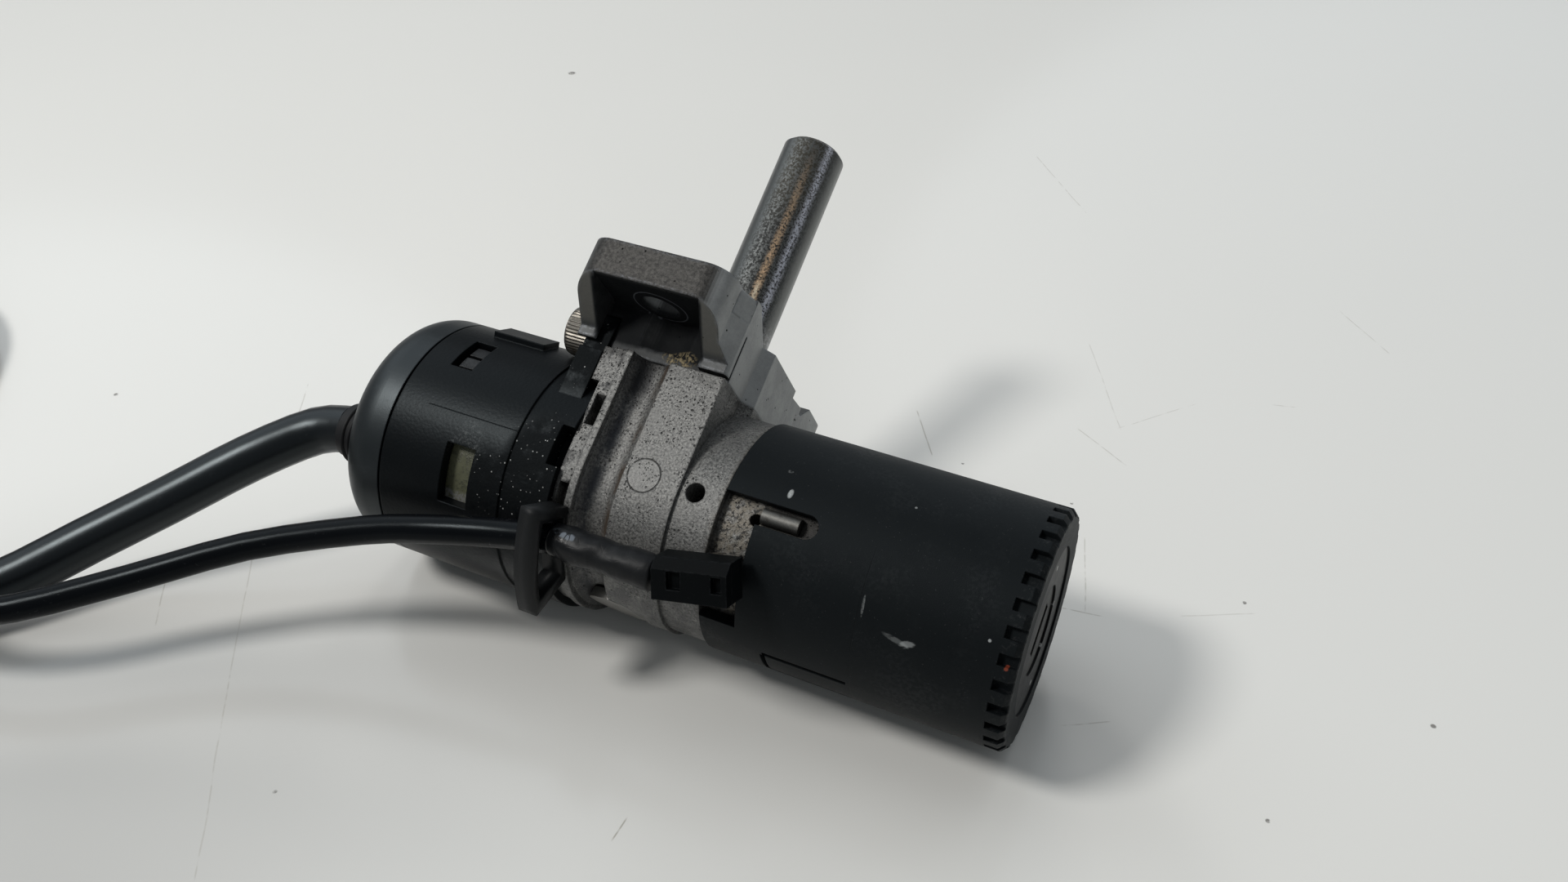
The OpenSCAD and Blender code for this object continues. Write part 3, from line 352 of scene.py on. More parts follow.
def sleeve_look():
    k = Look("sleeve_plastic")
    arc = k.arc(SLEEVE_RADIUS)
    radius = k.radius()
    mottle = k.noise(0.12, 5.0)
    grain = k.noise(7.0, 2.0)
    color = k.mix(mottle, (0.0022, 0.0030, 0.0037), (0.0042, 0.0052, 0.0060))
    rubbed = k.times(k.step(k.noise(0.09, 3.0), 0.46, 0.66), k.step(k.noise(1.6, 4.0), 0.40, 0.62))
    color = k.mix(k.times(rubbed, 0.4), color, (0.014, 0.0155, 0.0165))
    # painted sheen: the upper side of the sleeve, towards the bolt, is coloured lighter and bluer
    color = k.mix(k.times(k.step(k.y, 5.0, 19.5), 0.65), color, (0.016, 0.0185, 0.0205))
    color = k.mix(k.times(k.step(k.noise(3.2, 1.0), 0.72, 0.79), 0.5), color, (0.05, 0.05, 0.05))
    fray = k.step(k.noise(2.2, 4.0), 0.36, 0.66)
    smear = k.step(k.noise(0.9, 3.0, 0.5, k.stretched(0.6, 1.4, 1.4)), 0.36, 0.60)
    chips = k.add(
        k.times(k.spot(k.x, arc, -41.05, 4.45, 0.5, 0.95, 0), k.range(fray, 0.6, 1.0)),
        k.times(k.spot(k.x, arc, -18.4, -12.2, 2.6, 0.55, -14), smear, 0.20),
        k.times(k.spot(k.x, arc, -16.5, -12.3, 1.5, 0.75, 24), smear, 0.42),
        k.times(k.spot(k.x, arc, -24.4, -8.6, 0.26, 2.1, 4), fray, 0.30),
        k.times(k.spot(k.x, arc, -21.9, 8.8, 0.25, 0.25, 0), 0.45),
        k.times(k.spot(k.x, arc, -4.9, -7.6, 0.30, 0.3, 0), 0.75),
        k.times(k.spot(k.x, arc, -42.8, 8.4, 0.6, 0.35, 0), fray, 0.2),
    )
    chips = k.math("MINIMUM", chips, 1.0)
    color = k.mix(chips, color, (0.40, 0.42, 0.42))
    color = k.mix(k.times(k.spot(k.x, arc, -1.6, -10.9, 0.38, 0.34, 20), 0.75), color, (0.30, 0.055, 0.025))
    broken = k.step(k.noise(0.8, 2.0), 0.3, 0.6)
    line = k.times(k.band(k.x, -25.06, -24.94, 0.05), k.step(k.y, 1.5, -3.0), broken)
    color = k.mix(k.times(line, 0.7), color, (0.002, 0.002, 0.002))
    # the front face has lost its black along the edge
    face = k.step(k.x, -0.25, -0.06)
    scuffed = k.step(k.noise(0.7, 6.0, 0.65), 0.34, 0.56)
    inner = k.times(k.step(radius, 16.6, 18.2), k.step(k.noise(0.3, 4.0), 0.45, 0.62))
    edge = k.math("MAXIMUM", k.step(radius, 18.0, 18.9), inner)
    rim = k.times(k.band(k.x, -0.7, -0.1, 0.15), k.step(k.noise(0.9, 4.0), 0.50, 0.70))
    worn = k.math("MAXIMUM", k.times(face, scuffed, edge), k.times(rim, 0.18))
    color = k.mix(worn, color, k.mix(k.noise(2.4, 5.0), (0.013, 0.014, 0.0145), (0.066, 0.067, 0.066)))
    teeth = k.times(k.band(k.x, -3.2, -0.3, 0.4), k.step(k.noise(1.2, 5.0, 0.65), 0.52, 0.70))
    color = k.mix(k.times(teeth, 0.3), color, (0.05, 0.05, 0.05))
    rough = k.add(k.range(mottle, 0.50, 0.62), k.times(grain, 0.08))
    rough = k.add(rough, k.times(chips, 0.15), k.times(rubbed, -0.06))
    normal = k.bump(k.add(grain, k.times(line, -2.0)), 0.03, 0.5, k.rounded(0.25))
    normal = k.bump(k.add(chips, k.times(k.noise(0.5, 3.0), 0.25)), 0.08, 0.4, normal)
    return k.done(color, rough, 0.0, normal, Specular_IOR_Level=0.16, Specular_Tint=COOL)


def zinc_look():
    k = Look("zinc")
    sand = k.noise(2.5, 4.0, 0.72)
    patch = k.noise(0.16, 4.0)
    color = k.mix(k.step(sand, 0.30, 0.70), (0.052, 0.052, 0.051), (0.265, 0.262, 0.251))
    color = k.mix(k.times(k.step(patch, 0.42, 0.7), 0.4), color, (0.15, 0.149, 0.145))
    # stains that follow the groove: brown along its front bank, blue black in its bed
    run = k.noise(0.5, 4.0, 0.6, k.stretched(1.0, 0.35, 0.35))
    brown = k.times(k.band(k.x, -70.4, -68.9, 0.8), k.step(run, 0.42, 0.60))
    color = k.mix(k.times(brown, 0.8), color, (0.070, 0.043, 0.024))
    blue = k.times(k.band(k.x, -74.8, -73.2, 0.8), k.step(run, 0.30, 0.54))
    color = k.mix(k.times(blue, 0.9), color, (0.022, 0.025, 0.033))
    shore = k.add(k.y, k.times(k.noise(0.5, 3.0), 6.0))
    pool = k.times(k.band(k.x, -74.8, -71.6, 0.8), k.step(shore, 13.0, 18.0))
    oil = k.times(k.step(k.x, -75.0, -78.0), k.step(k.noise(0.28, 4.0, 0.6), 0.50, 0.62))
    color = k.mix(k.math("MAXIMUM", k.times(pool, 0.9), k.times(oil, 0.75)), color, (0.007, 0.0075, 0.009))
    nose = k.step(k.x, -52.5, -50.0)
    color = k.mix(k.times(nose, k.step(k.noise(0.8, 4.0), 0.30, 0.6), 0.75), color, (0.150, 0.130, 0.100))
    soot = k.math("MAXIMUM", k.step(k.noise(1.7, 4.0, 0.65), 0.50, 0.58), k.step(k.x, -44.6, -43.2))
    color = k.mix(k.times(nose, soot, 0.9), color, (0.008, 0.0075, 0.007))
    upper = k.step(k.y, 7.0, 15.0)
    more = k.times(upper, 0.10)
    pits = k.times(k.step(k.cells(0.9), 0.21, 0.11), k.step(k.add(k.noise(0.22, 2.0), more), 0.46, 0.60))
    fine = k.times(k.step(k.cells(1.9), 0.28, 0.14), k.step(k.add(k.noise(0.35, 3.0), more), 0.48, 0.60))
    holes = k.math("MAXIMUM", pits, k.times(fine, 0.85))
    color = k.mix(k.times(holes, 0.85), color, (0.010, 0.009, 0.008))
    # round mark that the casting's ejector left
    ring = k.length(k.math("ADD", k.x, 65.2), k.y)
    front = k.step(k.z, 15.0, 16.0)
    inside = k.times(k.step(ring, 2.9, 2.7), front)
    ring = k.times(k.band(ring, 2.76, 2.94, 0.09), front, k.step(k.noise(0.7, 2.0), 0.30, 0.5))
    color = k.mix(k.times(inside, 0.3), color, (0.24, 0.238, 0.23))
    color = k.mix(k.times(ring, 0.8), color, (0.045, 0.042, 0.038))
    # darker in corners and gaps by an ambient occlusion mask: partly dirt, partly painted shade
    crevice_dirt_and_shade = k.times(k.crevice(2.2, 0.30, 0.85), k.step(k.noise(0.6, 4.0), 0.26, 0.58))
    color = k.mix(k.times(crevice_dirt_and_shade, 0.75), color, (0.015, 0.0145, 0.014))
    joint = k.times(k.step(k.y, 16.6, 19.4), k.step(k.noise(0.55, 5.0), 0.38, 0.62))
    color = k.mix(k.times(joint, 0.7), color, (0.02, 0.019, 0.018))
    under = k.times(k.step(k.y, -10.0, -19.0), k.step(k.noise(0.3, 5.0, 0.6), 0.30, 0.62))
    color = k.mix(k.times(under, 0.7), color, (0.035, 0.037, 0.038))
    rough = k.add(k.range(sand, 0.36, 0.56), k.times(holes, 0.3), k.times(crevice_dirt_and_shade, 0.2))
    height = k.add(sand, k.times(holes, -2.2), k.times(ring, -1.6))
    normal = k.bump(height, 0.11, 0.8, k.rounded(0.45))
    normal = k.bump(k.noise(0.45, 3.0), 0.25, 0.35, normal)
    return k.done(color, rough, k.math("SUBTRACT", 0.5, k.times(holes, 0.45)), normal)


def bracket_look():
    k = Look("bracket_zinc")
    sand = k.noise(4.5, 3.0, 0.6)
    cloud = k.noise(0.13, 5.0, 0.6)
    coarse = k.noise(1.5, 4.0, 0.7)
    color = k.mix(cloud, (0.060, 0.062, 0.063), (0.105, 0.107, 0.107))
    # as cast and brownish on the ears' ends; painted light on the side towards the key
    crown = k.times(k.step(k.z, 28.8, 29.6), k.step(k.y, 27.6, 28.2))
    lumps = k.step(k.add(coarse, k.times(cloud, 0.25)), 0.44, 0.82)
    cast = k.mix(lumps, (0.030, 0.0285, 0.027), (0.082, 0.078, 0.073))
    color = k.mix(k.times(crown, 0.9), color, cast)
    outside = k.inverse(k.band(k.x, -84.0, -63.9, 0.2))
    legs = k.times(k.step(k.z, 20.5, 22.0), k.step(k.y, 28.2, 27.6), outside)
    color = k.mix(k.times(legs, k.range(coarse, 0.5, 1.0)), color, (0.155, 0.152, 0.138))
    # painted light: surfaces that face world +x, towards the key, are coloured much lighter
    side = k.facing(0, 0.35, 0.75)
    patches = k.step(k.add(cloud, k.times(coarse, 0.3)), 0.4, 0.9)
    color = k.mix(side, color, k.mix(patches, (0.26, 0.267, 0.267), (0.39, 0.397, 0.395)))
    color = k.mix(k.times(k.step(sand, 0.50, 0.74), 0.22), color, (0.19, 0.187, 0.18))
    pits = k.times(k.step(k.cells(0.55), 0.12, 0.07), k.step(k.noise(0.3, 2.0), 0.40, 0.55))
    color = k.mix(pits, color, (0.006, 0.006, 0.006))
    # corners rubbed bright
    bare = k.times(k.edges(1.1), k.step(k.noise(1.6, 5.0, 0.7), 0.40, 0.62))
    color = k.mix(k.times(bare, 0.55), color, (0.25, 0.262, 0.29))
    # pocket under the near ear: painted shade, with brassy residue in its front corner
    pocket_shade = k.times(k.step(k.z, 9.5, 12.0), k.step(k.y, 29.6, 28.4), k.band(k.x, -84.3, -63.6, 0.3))
    pocket_shade = k.times(pocket_shade, k.step(k.z, 30.2, 28.6))
    floor = k.step(k.add(k.y, k.times(k.noise(0.5, 3.0), 1.2)), 21.2, 22.2)
    pocket_shade = k.times(pocket_shade, k.range(floor, 0.35, 1.0))
    color = k.mix(k.times(pocket_shade, k.range(k.noise(0.5, 4.0), 0.86, 0.99)), color, (0.006, 0.0068, 0.0078))
    crust = k.noise(1.5, 4.0)
    residue = k.times(k.spot(k.x, k.y, -68.6, 21.4, 3.6, 1.9), k.step(k.z, 13.0, 15.0))
    residue = k.times(residue, k.step(crust, 0.44, 0.56))
    brassy = k.mix(k.noise(2.6, 3.0), (0.06, 0.045, 0.025), (0.46, 0.38, 0.23))
    color = k.mix(k.times(residue, 0.85), color, brassy)
    # turning marks of the spot face round the near hole
    ring = k.length(k.math("SUBTRACT", k.x, EAR_X), k.math("SUBTRACT", k.z, NEAR_HOLE))
    turned = k.times(k.math("SINE", k.times(ring, 4.2)), k.band(ring, 3.4, 6.4, 0.4))
    turned = k.times(turned, k.step(k.y, 29.3, 28.6), k.step(k.y, 27.2, 27.8))
    color = k.mix(k.times(k.step(turned, 0.75, 1.0), 0.45), color, (0.20, 0.21, 0.23))
    # darker in corners and gaps by an ambient occlusion mask, less on the side towards the key: partly dirt,
    # partly painted shade
    crevice_dirt_and_shade = k.times(k.crevice(3.0, 0.25, 0.82), k.step(k.noise(0.5, 4.0), 0.26, 0.60))
    crevice_dirt_and_shade = k.times(crevice_dirt_and_shade, k.range(side, 0.85, 0.3))
    color = k.mix(crevice_dirt_and_shade, color, (0.010, 0.0102, 0.0105))
    rough = k.add(k.range(cloud, 0.36, 0.50), k.times(pocket_shade, 0.2), k.times(sand, 0.08))
    rough = k.add(rough, k.times(pits, 0.2), k.times(bare, -0.1))
    height = k.add(k.times(sand, 0.7), k.times(pits, -2.5), k.times(turned, 0.8))
    height = k.add(height, k.times(residue, crust, 6.0), k.times(coarse, crown, 2.5))
    normal = k.bump(height, 0.05, 0.55, k.rounded(0.6))
    normal = k.bump(k.noise(0.3, 3.0), 0.3, 0.3, normal)
    dull = k.math("MAXIMUM", pits, pocket_shade)
    metal = k.math("SUBTRACT", 0.5, k.times(dull, 0.48))
    return k.done(color, rough, metal, normal, Specular_IOR_Level=0.06)


def bolt_look():
    k = Look("bolt_steel")
    fine = k.noise(2.4, 5.0, 0.72, k.stretched(1.0, 0.55, 1.0))
    grit = k.noise(2.3, 4.0, 0.68)
    around = k.math("DEGREES", k.math("ARCTAN2", k.z, k.math("SUBTRACT", k.x, BOLT_X)))
    wander = k.times(k.math("SUBTRACT", k.noise(0.25, 3.0), 0.5), 7.0)
    side = k.add(around, wander)
    color = k.mix(fine, (0.10, 0.104, 0.102), (0.185, 0.19, 0.186))
    # dark oxide in speckles on the side that faces up, browner towards the tip
    dark = k.times(k.band(side, 28.0, 112.0, 16.0), k.step(k.add(grit, k.times(fine, 0.7)), 0.95, 0.78))
    oxide = k.mix(k.step(k.y, 52.0, 66.0), (0.010, 0.0105, 0.010), (0.030, 0.026, 0.017))
    color = k.mix(k.times(dark, 0.95), color, oxide)
    # two painted highlights along the rod at fixed angles round it, one bronze and one lavender
    bronze = k.times(k.band(side, 62.5, 73.0, 5.0), k.step(k.y, 74.0, 60.0), k.step(grit, 0.40, 0.56))
    color = k.mix(k.times(bronze, k.range(k.step(k.y, 66.0, 38.0), 0.45, 1.0)), color, (0.84, 0.57, 0.35))
    # painted glint: a brighter spot on the bronze line
    bronze_glint = k.times(k.band(side, 65.0, 70.5, 3.0), k.spot(k.y, k.x, 37.0, BOLT_X, 7.5, 20.0))
    bronze_glint = k.times(bronze_glint, k.step(grit, 0.40, 0.54))
    color = k.mix(bronze_glint, color, (0.95, 0.82, 0.62))
    # painted reflection: a light lavender line along the rod
    pale_highlight = k.times(k.band(side, 36.0, 48.0, 6.0), k.step(grit, 0.38, 0.58))
    color = k.mix(k.times(pale_highlight, 0.9), color, (0.78, 0.79, 0.88))
    scuffed = k.times(k.step(k.y, 39.0, 34.0), k.step(k.noise(1.4, 5.0, 0.7), 0.44, 0.60))
    color = k.mix(k.times(scuffed, 0.7), color, (0.34, 0.34, 0.35))
    tip = k.step(k.y, 73.6, 74.6)
    color = k.mix(k.times(tip, 0.7), color, k.mix(fine, (0.05, 0.045, 0.04), (0.22, 0.20, 0.18)))
    rough = k.add(k.range(fine, 0.26, 0.40), k.times(dark, 0.25))
    normal = k.bump(k.add(fine, k.times(dark, -0.8)), 0.03, 0.5, k.rounded(0.4))
    return k.done(color, rough, k.math("SUBTRACT", 0.85, k.times(dark, 0.5)), normal)


def switch_look():
    k = Look("switch_plastic")
    arc = k.arc(SWITCH_RADIUS)
    skin = k.cells(1.9, "SMOOTH_F1")
    grain = k.noise(3.0, 3.0)
    cloud = k.noise(0.1, 4.0)
    color = k.mix(cloud, (0.0014, 0.0018, 0.0023), (0.0030, 0.0036, 0.0043))
    wet = k.add(
        k.spot(k.x, arc, -83.5, -5.0, 7.0, 12.0, 0),
        k.spot(k.x, arc, -91.0, -10.0, 8.0, 7.0, 0),
        k.times(k.step(k.y, 9.0, 13.0), k.step(k.x, -89.0, -86.0)),
    )
    wet = k.times(k.math("MINIMUM", wet, 1.0), k.step(k.noise(0.35, 5.0), 0.30, 0.52))
    grit = k.times(k.noise(1.9, 2.0, 0.5), wet)
    color = k.mix(k.times(wet, 0.7), color, (0.0012, 0.0014, 0.0016))
    # painted glints: small white specks in the wet area stand in for its sparkling highlights
    wet_glints = k.times(k.step(k.cells(1.15), 0.19, 0.11), wet, k.step(k.noise(0.7, 3.0), 0.47, 0.55))
    color = k.mix(k.times(wet_glints, 0.8), color, (0.42, 0.42, 0.41))
    dust = k.times(k.step(k.noise(1.7, 6.0, 0.7), 0.60, 0.72), k.inverse(wet))
    color = k.mix(k.times(dust, 0.04), color, (0.14, 0.14, 0.14))
    seam = k.times(k.band(k.y, 0.13, 0.25, 0.06), k.step(k.z, 18.0, 19.0), k.band(k.x, -106.5, -88.3, 0.5))
    color = k.mix(k.times(seam, 0.8), color, (0.001, 0.001, 0.001))
    # whitened edges of the lower window
    chalk = k.times(k.spot(k.x, arc, -97.0, -5.0, 3.6, 5.6), k.step(k.radius(), 22.3, 21.2))
    chalk = k.times(chalk, k.step(k.noise(1.8, 5.0, 0.7), 0.48, 0.62))
    color = k.mix(k.times(chalk, 0.7), color, (0.30, 0.31, 0.31))
    rough = k.add(k.range(grain, 0.34, 0.46), k.times(wet, 0.30), k.times(wet_glints, -0.4))
    height = k.add(k.times(skin, 0.8), k.times(grain, 0.5), k.times(seam, -2.0))
    normal = k.bump(height, 0.05, 0.5, k.rounded(0.35))
    normal = k.bump(k.add(grit, k.times(wet_glints, 0.4)), 0.12, 0.5, normal)
    return k.done(color, rough, 0.0, normal, Specular_IOR_Level=0.14, Specular_Tint=COOL)


def plastic_look(name, dark, light, rough, grain_scale=4.0, depth=0.03, edge=0.3, dust=0.15):
    k = Look(name)
    cloud = k.noise(0.15, 4.0)
    grain = k.noise(grain_scale, 3.0)
    color = k.mix(cloud, dark, light)
    specks = k.step(k.noise(1.4, 6.0, 0.7), 0.60, 0.74)
    color = k.mix(k.times(specks, dust), color, (0.25, 0.25, 0.24))
    roughness = k.add(k.range(cloud, rough - 0.06, rough + 0.06), k.times(grain, 0.08))
    return k.done(color, roughness, 0.0, k.bump(grain, depth, 0.5, k.rounded(edge)), Specular_IOR_Level=0.3)


def metal_look(name, dark, light, rough, stain=0.4, stain_color=(0.06, 0.05, 0.04)):
    k = Look(name)
    fine = k.noise(5.0, 4.0, 0.65)
    cloud = k.noise(0.5, 5.0, 0.6)
    color = k.mix(fine, dark, light)
    color = k.mix(k.times(k.step(cloud, 0.5, 0.72), stain), color, stain_color)
    roughness = k.add(k.range(cloud, rough - 0.08, rough + 0.1), k.times(fine, 0.08))
    return k.done(color, roughness, 1.0, k.bump(fine, 0.02, 0.5, k.rounded(0.15)))


def cap_look():
    k = Look("cap_plastic")
    grain = k.noise(5.0, 3.0)
    cloud = k.noise(0.12, 4.0)
    color = k.mix(cloud, (0.0026, 0.0036, 0.0044), (0.0054, 0.0068, 0.0080))
    smear = k.step(k.noise(0.5, 6.0, 0.65, k.stretched(0.4, 1.0, 1.0)), 0.56, 0.72)
    color = k.mix(k.times(smear, 0.06), color, (0.2, 0.21, 0.23))
    rough = k.add(k.range(cloud, 0.32, 0.42), k.times(smear, 0.12), k.times(grain, 0.06))
    normal = k.bump(grain, 0.03, 0.5, k.rounded(0.3))
    return k.done(color, rough, 0.0, normal, Specular_IOR_Level=0.5, Specular_Tint=COOL)


def insert_look():
    k = Look("insert_plastic")
    cloud = k.noise(0.5, 4.0)
    color = k.mix(cloud, (0.060, 0.062, 0.034), (0.125, 0.128, 0.075))
    grime = k.step(k.noise(0.9, 6.0, 0.7), 0.46, 0.64)
    color = k.mix(k.times(grime, 0.6), color, (0.022, 0.022, 0.015))
    lower = k.times(k.step(k.arc(SLEEVE_RADIUS), -12.2, -13.0), k.step(k.noise(1.8, 5.0, 0.7), 0.36, 0.56))
    color = k.mix(k.times(lower, 0.8), color, (0.22, 0.22, 0.22))
    hooks = k.times(k.step(k.arc(SLEEVE_RADIUS), 4.5, 6.0), k.step(k.radius(), 10.0, 13.0))
    color = k.mix(hooks, color, (0.0045, 0.0048, 0.0055))
    return k.done(color, k.range(cloud, 0.32, 0.5), 0.0, k.bump(grime, 0.05, 0.5, k.rounded(0.15)))


def boot_look():
    k = Look("shrink")
    fold = k.noise(0.55, 4.0, 0.6, k.stretched(1.6, 0.7, 0.7))
    color = k.mix(fold, (0.004, 0.0045, 0.0053), (0.009, 0.0098, 0.0110))
    film = k.times(k.spot(k.x, k.y, -72.4, -13.6, 2.6, 0.8, -8), k.step(k.noise(0.9, 4.0), 0.40, 0.54))
    cracks = k.step(k.cells(0.55, "DISTANCE_TO_EDGE"), 0.02, 0.05)
    color = k.mix(k.times(film, cracks, 0.5), color, (0.28, 0.32, 0.37))
    rough = k.add(k.range(fold, 0.42, 0.54), k.times(k.step(k.x, -68.0, -73.0), -0.18))
    normal = k.bump(k.add(fold, k.times(cracks, 0.15)), 0.12, 0.45)
    return k.done(color, rough, 0.0, normal, Specular_IOR_Level=0.22)


def cable_look(name, polish, gloss):
    k = Look(name)
    streak = k.noise(0.9, 4.0, 0.6, k.stretched(0.12, 0.12, 1.0))
    fine = k.noise(6.0, 2.0)
    cloud = k.noise(0.06, 3.0)
    color = k.mix(cloud, (0.0018, 0.0022, 0.0030), (0.0038, 0.0044, 0.0056))
    dust = k.step(k.noise(1.1, 6.0, 0.7), 0.62, 0.76)
    color = k.mix(k.times(dust, 0.10), color, (0.2, 0.2, 0.2))
    scuff = k.times(k.step(k.noise(0.35, 5.0, 0.7), 0.60, 0.72), k.step(streak, 0.45, 0.65))
    color = k.mix(k.times(scuff, 0.3), color, (0.05, 0.05, 0.055))
    rough = k.add(k.range(streak, polish, polish + 0.1), k.times(dust, 0.15), k.times(scuff, 0.1))
    normal = k.bump(k.add(fine, k.times(streak, 0.6)), 0.03, 0.5)
    return k.done(color, rough, 0.0, normal, Specular_IOR_Level=gloss, Specular_Tint=COOL)


def disc_look():
    k = Look("disc_paint")
    cloud = k.noise(0.4, 5.0)
    worn = k.times(k.step(k.radius(), 12.9, 14.0), k.step(k.noise(1.1, 5.0), 0.38, 0.58))
    color = k.mix(cloud, (0.003, 0.0034, 0.0038), (0.0065, 0.007, 0.0075))
    color = k.mix(k.times(worn, 0.6), color, (0.045, 0.045, 0.044))
    scratch = k.step(k.noise(3.0, 3.0, 0.6, k.stretched(1.0, 0.2, 1.6)), 0.66, 0.74)
    color = k.mix(k.times(scratch, 0.25), color, (0.3, 0.3, 0.3))
    # small dots of paint
    dots = k.add(
        k.spot(k.y, k.z, -6.9, -9.3, 0.55, 0.85, 10), k.spot(k.y, k.z, -0.9, -7.1, 0.5, 0.7, 25),
        k.spot(k.y, k.z, 6.0, -5.2, 0.5, 0.5, 0), k.spot(k.y, k.z, 9.0, 6.0, 0.5, 0.6, 0),
    )
    dots = k.times(dots, k.step(k.noise(2.8, 3.0), 0.34, 0.5), k.step(k.x, -2.2, -1.8))
    color = k.mix(k.times(dots, 0.85), color, (0.55, 0.55, 0.53))
    normal = k.bump(cloud, 0.03, 0.5, k.rounded(0.15))
    return k.done(color, k.range(cloud, 0.38, 0.52), 0.0, normal, Specular_IOR_Level=0.15)


def micro_look():
    k = Look("micro_plastic")
    cloud = k.noise(0.25, 4.0)
    grain = k.noise(6.0, 3.0)
    color = k.mix(cloud, (0.0012, 0.0018, 0.0022), (0.0030, 0.0038, 0.0044))
    specks = k.step(k.noise(2.2, 5.0, 0.7), 0.64, 0.76)
    color = k.mix(k.times(specks, 0.12), color, (0.3, 0.3, 0.3))
    bare = k.times(k.edges(0.3), k.step(k.noise(1.3, 4.0), 0.40, 0.60))
    color = k.mix(k.times(bare, 0.3), color, (0.05, 0.055, 0.06))
    rough = k.add(k.range(cloud, 0.46, 0.58), k.times(grain, 0.08))
    return k.done(color, rough, 0.0, k.bump(grain, 0.03, 0.5, k.rounded(0.2)), Specular_IOR_Level=0.06)


# Hairlines on the table: both ends in millimetres, and how dark they are
SCRATCHES = [
    (15, 53, 23, 40, 0.6), (49, 61, 63, 52, 0.4), (43, 94, 57, 65, 0.25), (57, 65, 70, 80, 0.25),
    (59, 28, 64, 9, 0.35), (60, 8, 67, 9, 0.5), (80, 15, 92, 21, 0.25), (67, -18, 74, -14, 0.35),
    (86, 87, 90, 88, 0.4), (-89, -40, -44, -100, 0.3), (-116, 6, -109, -6, 0.4), (10, -64, 10, -68, 0.7),
    (-100, -51, -90, -64, 0.35), (4, 184, 26, 156, 0.4), (95, 132, 107, 118, 0.35),
]
# Specks on the table: place and radius in millimetres
SPECKS = [
    (-158, 183, 1.6), (-44, -83, 0.5), (101, -23, 0.5), (123, 7, 0.6), (54, 37, 0.45), (90, 23, 0.5),
    (30, 40, 0.4), (-154, -15, 0.7),
]


def floor_look():
    k = Look("table")
    cloud = k.noise(3.0, 3.0, 0.5, k.world)
    color = k.mix(cloud, (0.765, 0.757, 0.728), (0.805, 0.796, 0.765))
    # painted shadow: the table greyed in the corner nearest the cables
    split = k.node("ShaderNodeSeparateXYZ")
    put(k.tree, split.inputs[0], k.world)
    along, across = split.outputs[0], split.outputs[1]
    away = k.length(k.math("ADD", along, 0.072), k.math("ADD", across, 0.118))
    color = k.mix(k.times(k.step(away, 0.11, 0.0), 0.75), color, (0.42, 0.415, 0.40))
    marks = 0.0
    for x0, y0, x1, y1, depth in SCRATCHES:
        length = math.hypot(x1 - x0, y1 - y0)
        c, n = (x1 - x0) / length, (y1 - y0) / length
        u = k.add(k.times(along, TO_MM * c), k.times(across, TO_MM * n), -(x0 * c + y0 * n))
        v = k.add(k.times(across, TO_MM * c), k.times(along, -TO_MM * n), x0 * n - y0 * c)
        v = k.math("ABSOLUTE", k.add(v, k.times(k.noise(40.0, 2.0, 0.5, k.world), 1.2), -0.6))
        hair = k.times(k.step(v, 0.20, 0.05), k.band(u, 0.0, length, 0.6), depth)
        marks = k.math("MAXIMUM", marks, hair)
    marks = k.times(marks, k.step(k.noise(300.0, 2.0, 0.5, k.world), 0.34, 0.56))
    color = k.mix(marks, color, (0.30, 0.27, 0.22))
    specks = 0.0
    for x0, y0, size in SPECKS:
        away = k.length(k.add(k.times(along, TO_MM), -x0), k.add(k.times(across, TO_MM), -y0))
        specks = k.math("MAXIMUM", specks, k.step(away, size, size * 0.5))
    specks = k.times(specks, k.step(k.noise(900.0, 2.0, 0.5, k.world), 0.36, 0.5))
    color = k.mix(k.times(specks, 0.8), color, (0.10, 0.09, 0.08))
    rough = k.add(k.range(cloud, 0.13, 0.19), k.times(marks, 0.3), k.times(specks, 0.4))
    normal = k.bump(k.add(k.noise(6.0, 2.0, 0.5, k.world), k.times(marks, -0.05)), 0.5, 0.08)
    return k.done(color, rough, 0.0, normal)


sleeve = sleeve_look()
zinc = zinc_look()
bracket = bracket_look()
switch = switch_look()
main_jacket = cable_look("main_jacket", 0.26, 0.42)
sense_jacket = cable_look("sense_jacket", 0.20, 0.10)
micro = micro_look()
steel = metal_look("steel", (0.20, 0.195, 0.185), (0.42, 0.41, 0.39), 0.32)
screw_steel = metal_look(
    "screw_steel", (0.10, 0.092, 0.08), (0.25, 0.232, 0.205), 0.36, 0.6, (0.05, 0.038, 0.025),
)
spring_steel = metal_look("spring_steel", (0.25, 0.25, 0.25), (0.45, 0.45, 0.46), 0.28, 0.2)
brass = metal_look("brass", (0.48, 0.34, 0.13), (0.72, 0.55, 0.25), 0.3, 0.3, (0.22, 0.13, 0.06))
rubber = plastic_look("rubber", (0.005, 0.005, 0.006), (0.010, 0.010, 0.011), 0.5, dust=0.08)
tie_plastic = plastic_look("tie_plastic", (0.006, 0.006, 0.007), (0.012, 0.012, 0.013), 0.42, dust=0.08)
plug_plastic = plastic_look("plug_plastic", (0.006, 0.006, 0.0075), (0.013, 0.013, 0.015), 0.45, dust=0.08)
clip_plastic = plastic_look(
    "clip_plastic", (0.003, 0.0036, 0.0042), (0.0068, 0.0078, 0.0088), 0.5,
    grain_scale=3.0, depth=0.05, edge=0.7, dust=0.03,
)
rotor_plastic = plastic_look("rotor_plastic", (0.5, 0.47, 0.40), (0.62, 0.59, 0.52), 0.45)
plunger_plastic = plastic_look("plunger_plastic", (0.30, 0.04, 0.03), (0.42, 0.07, 0.05), 0.4)

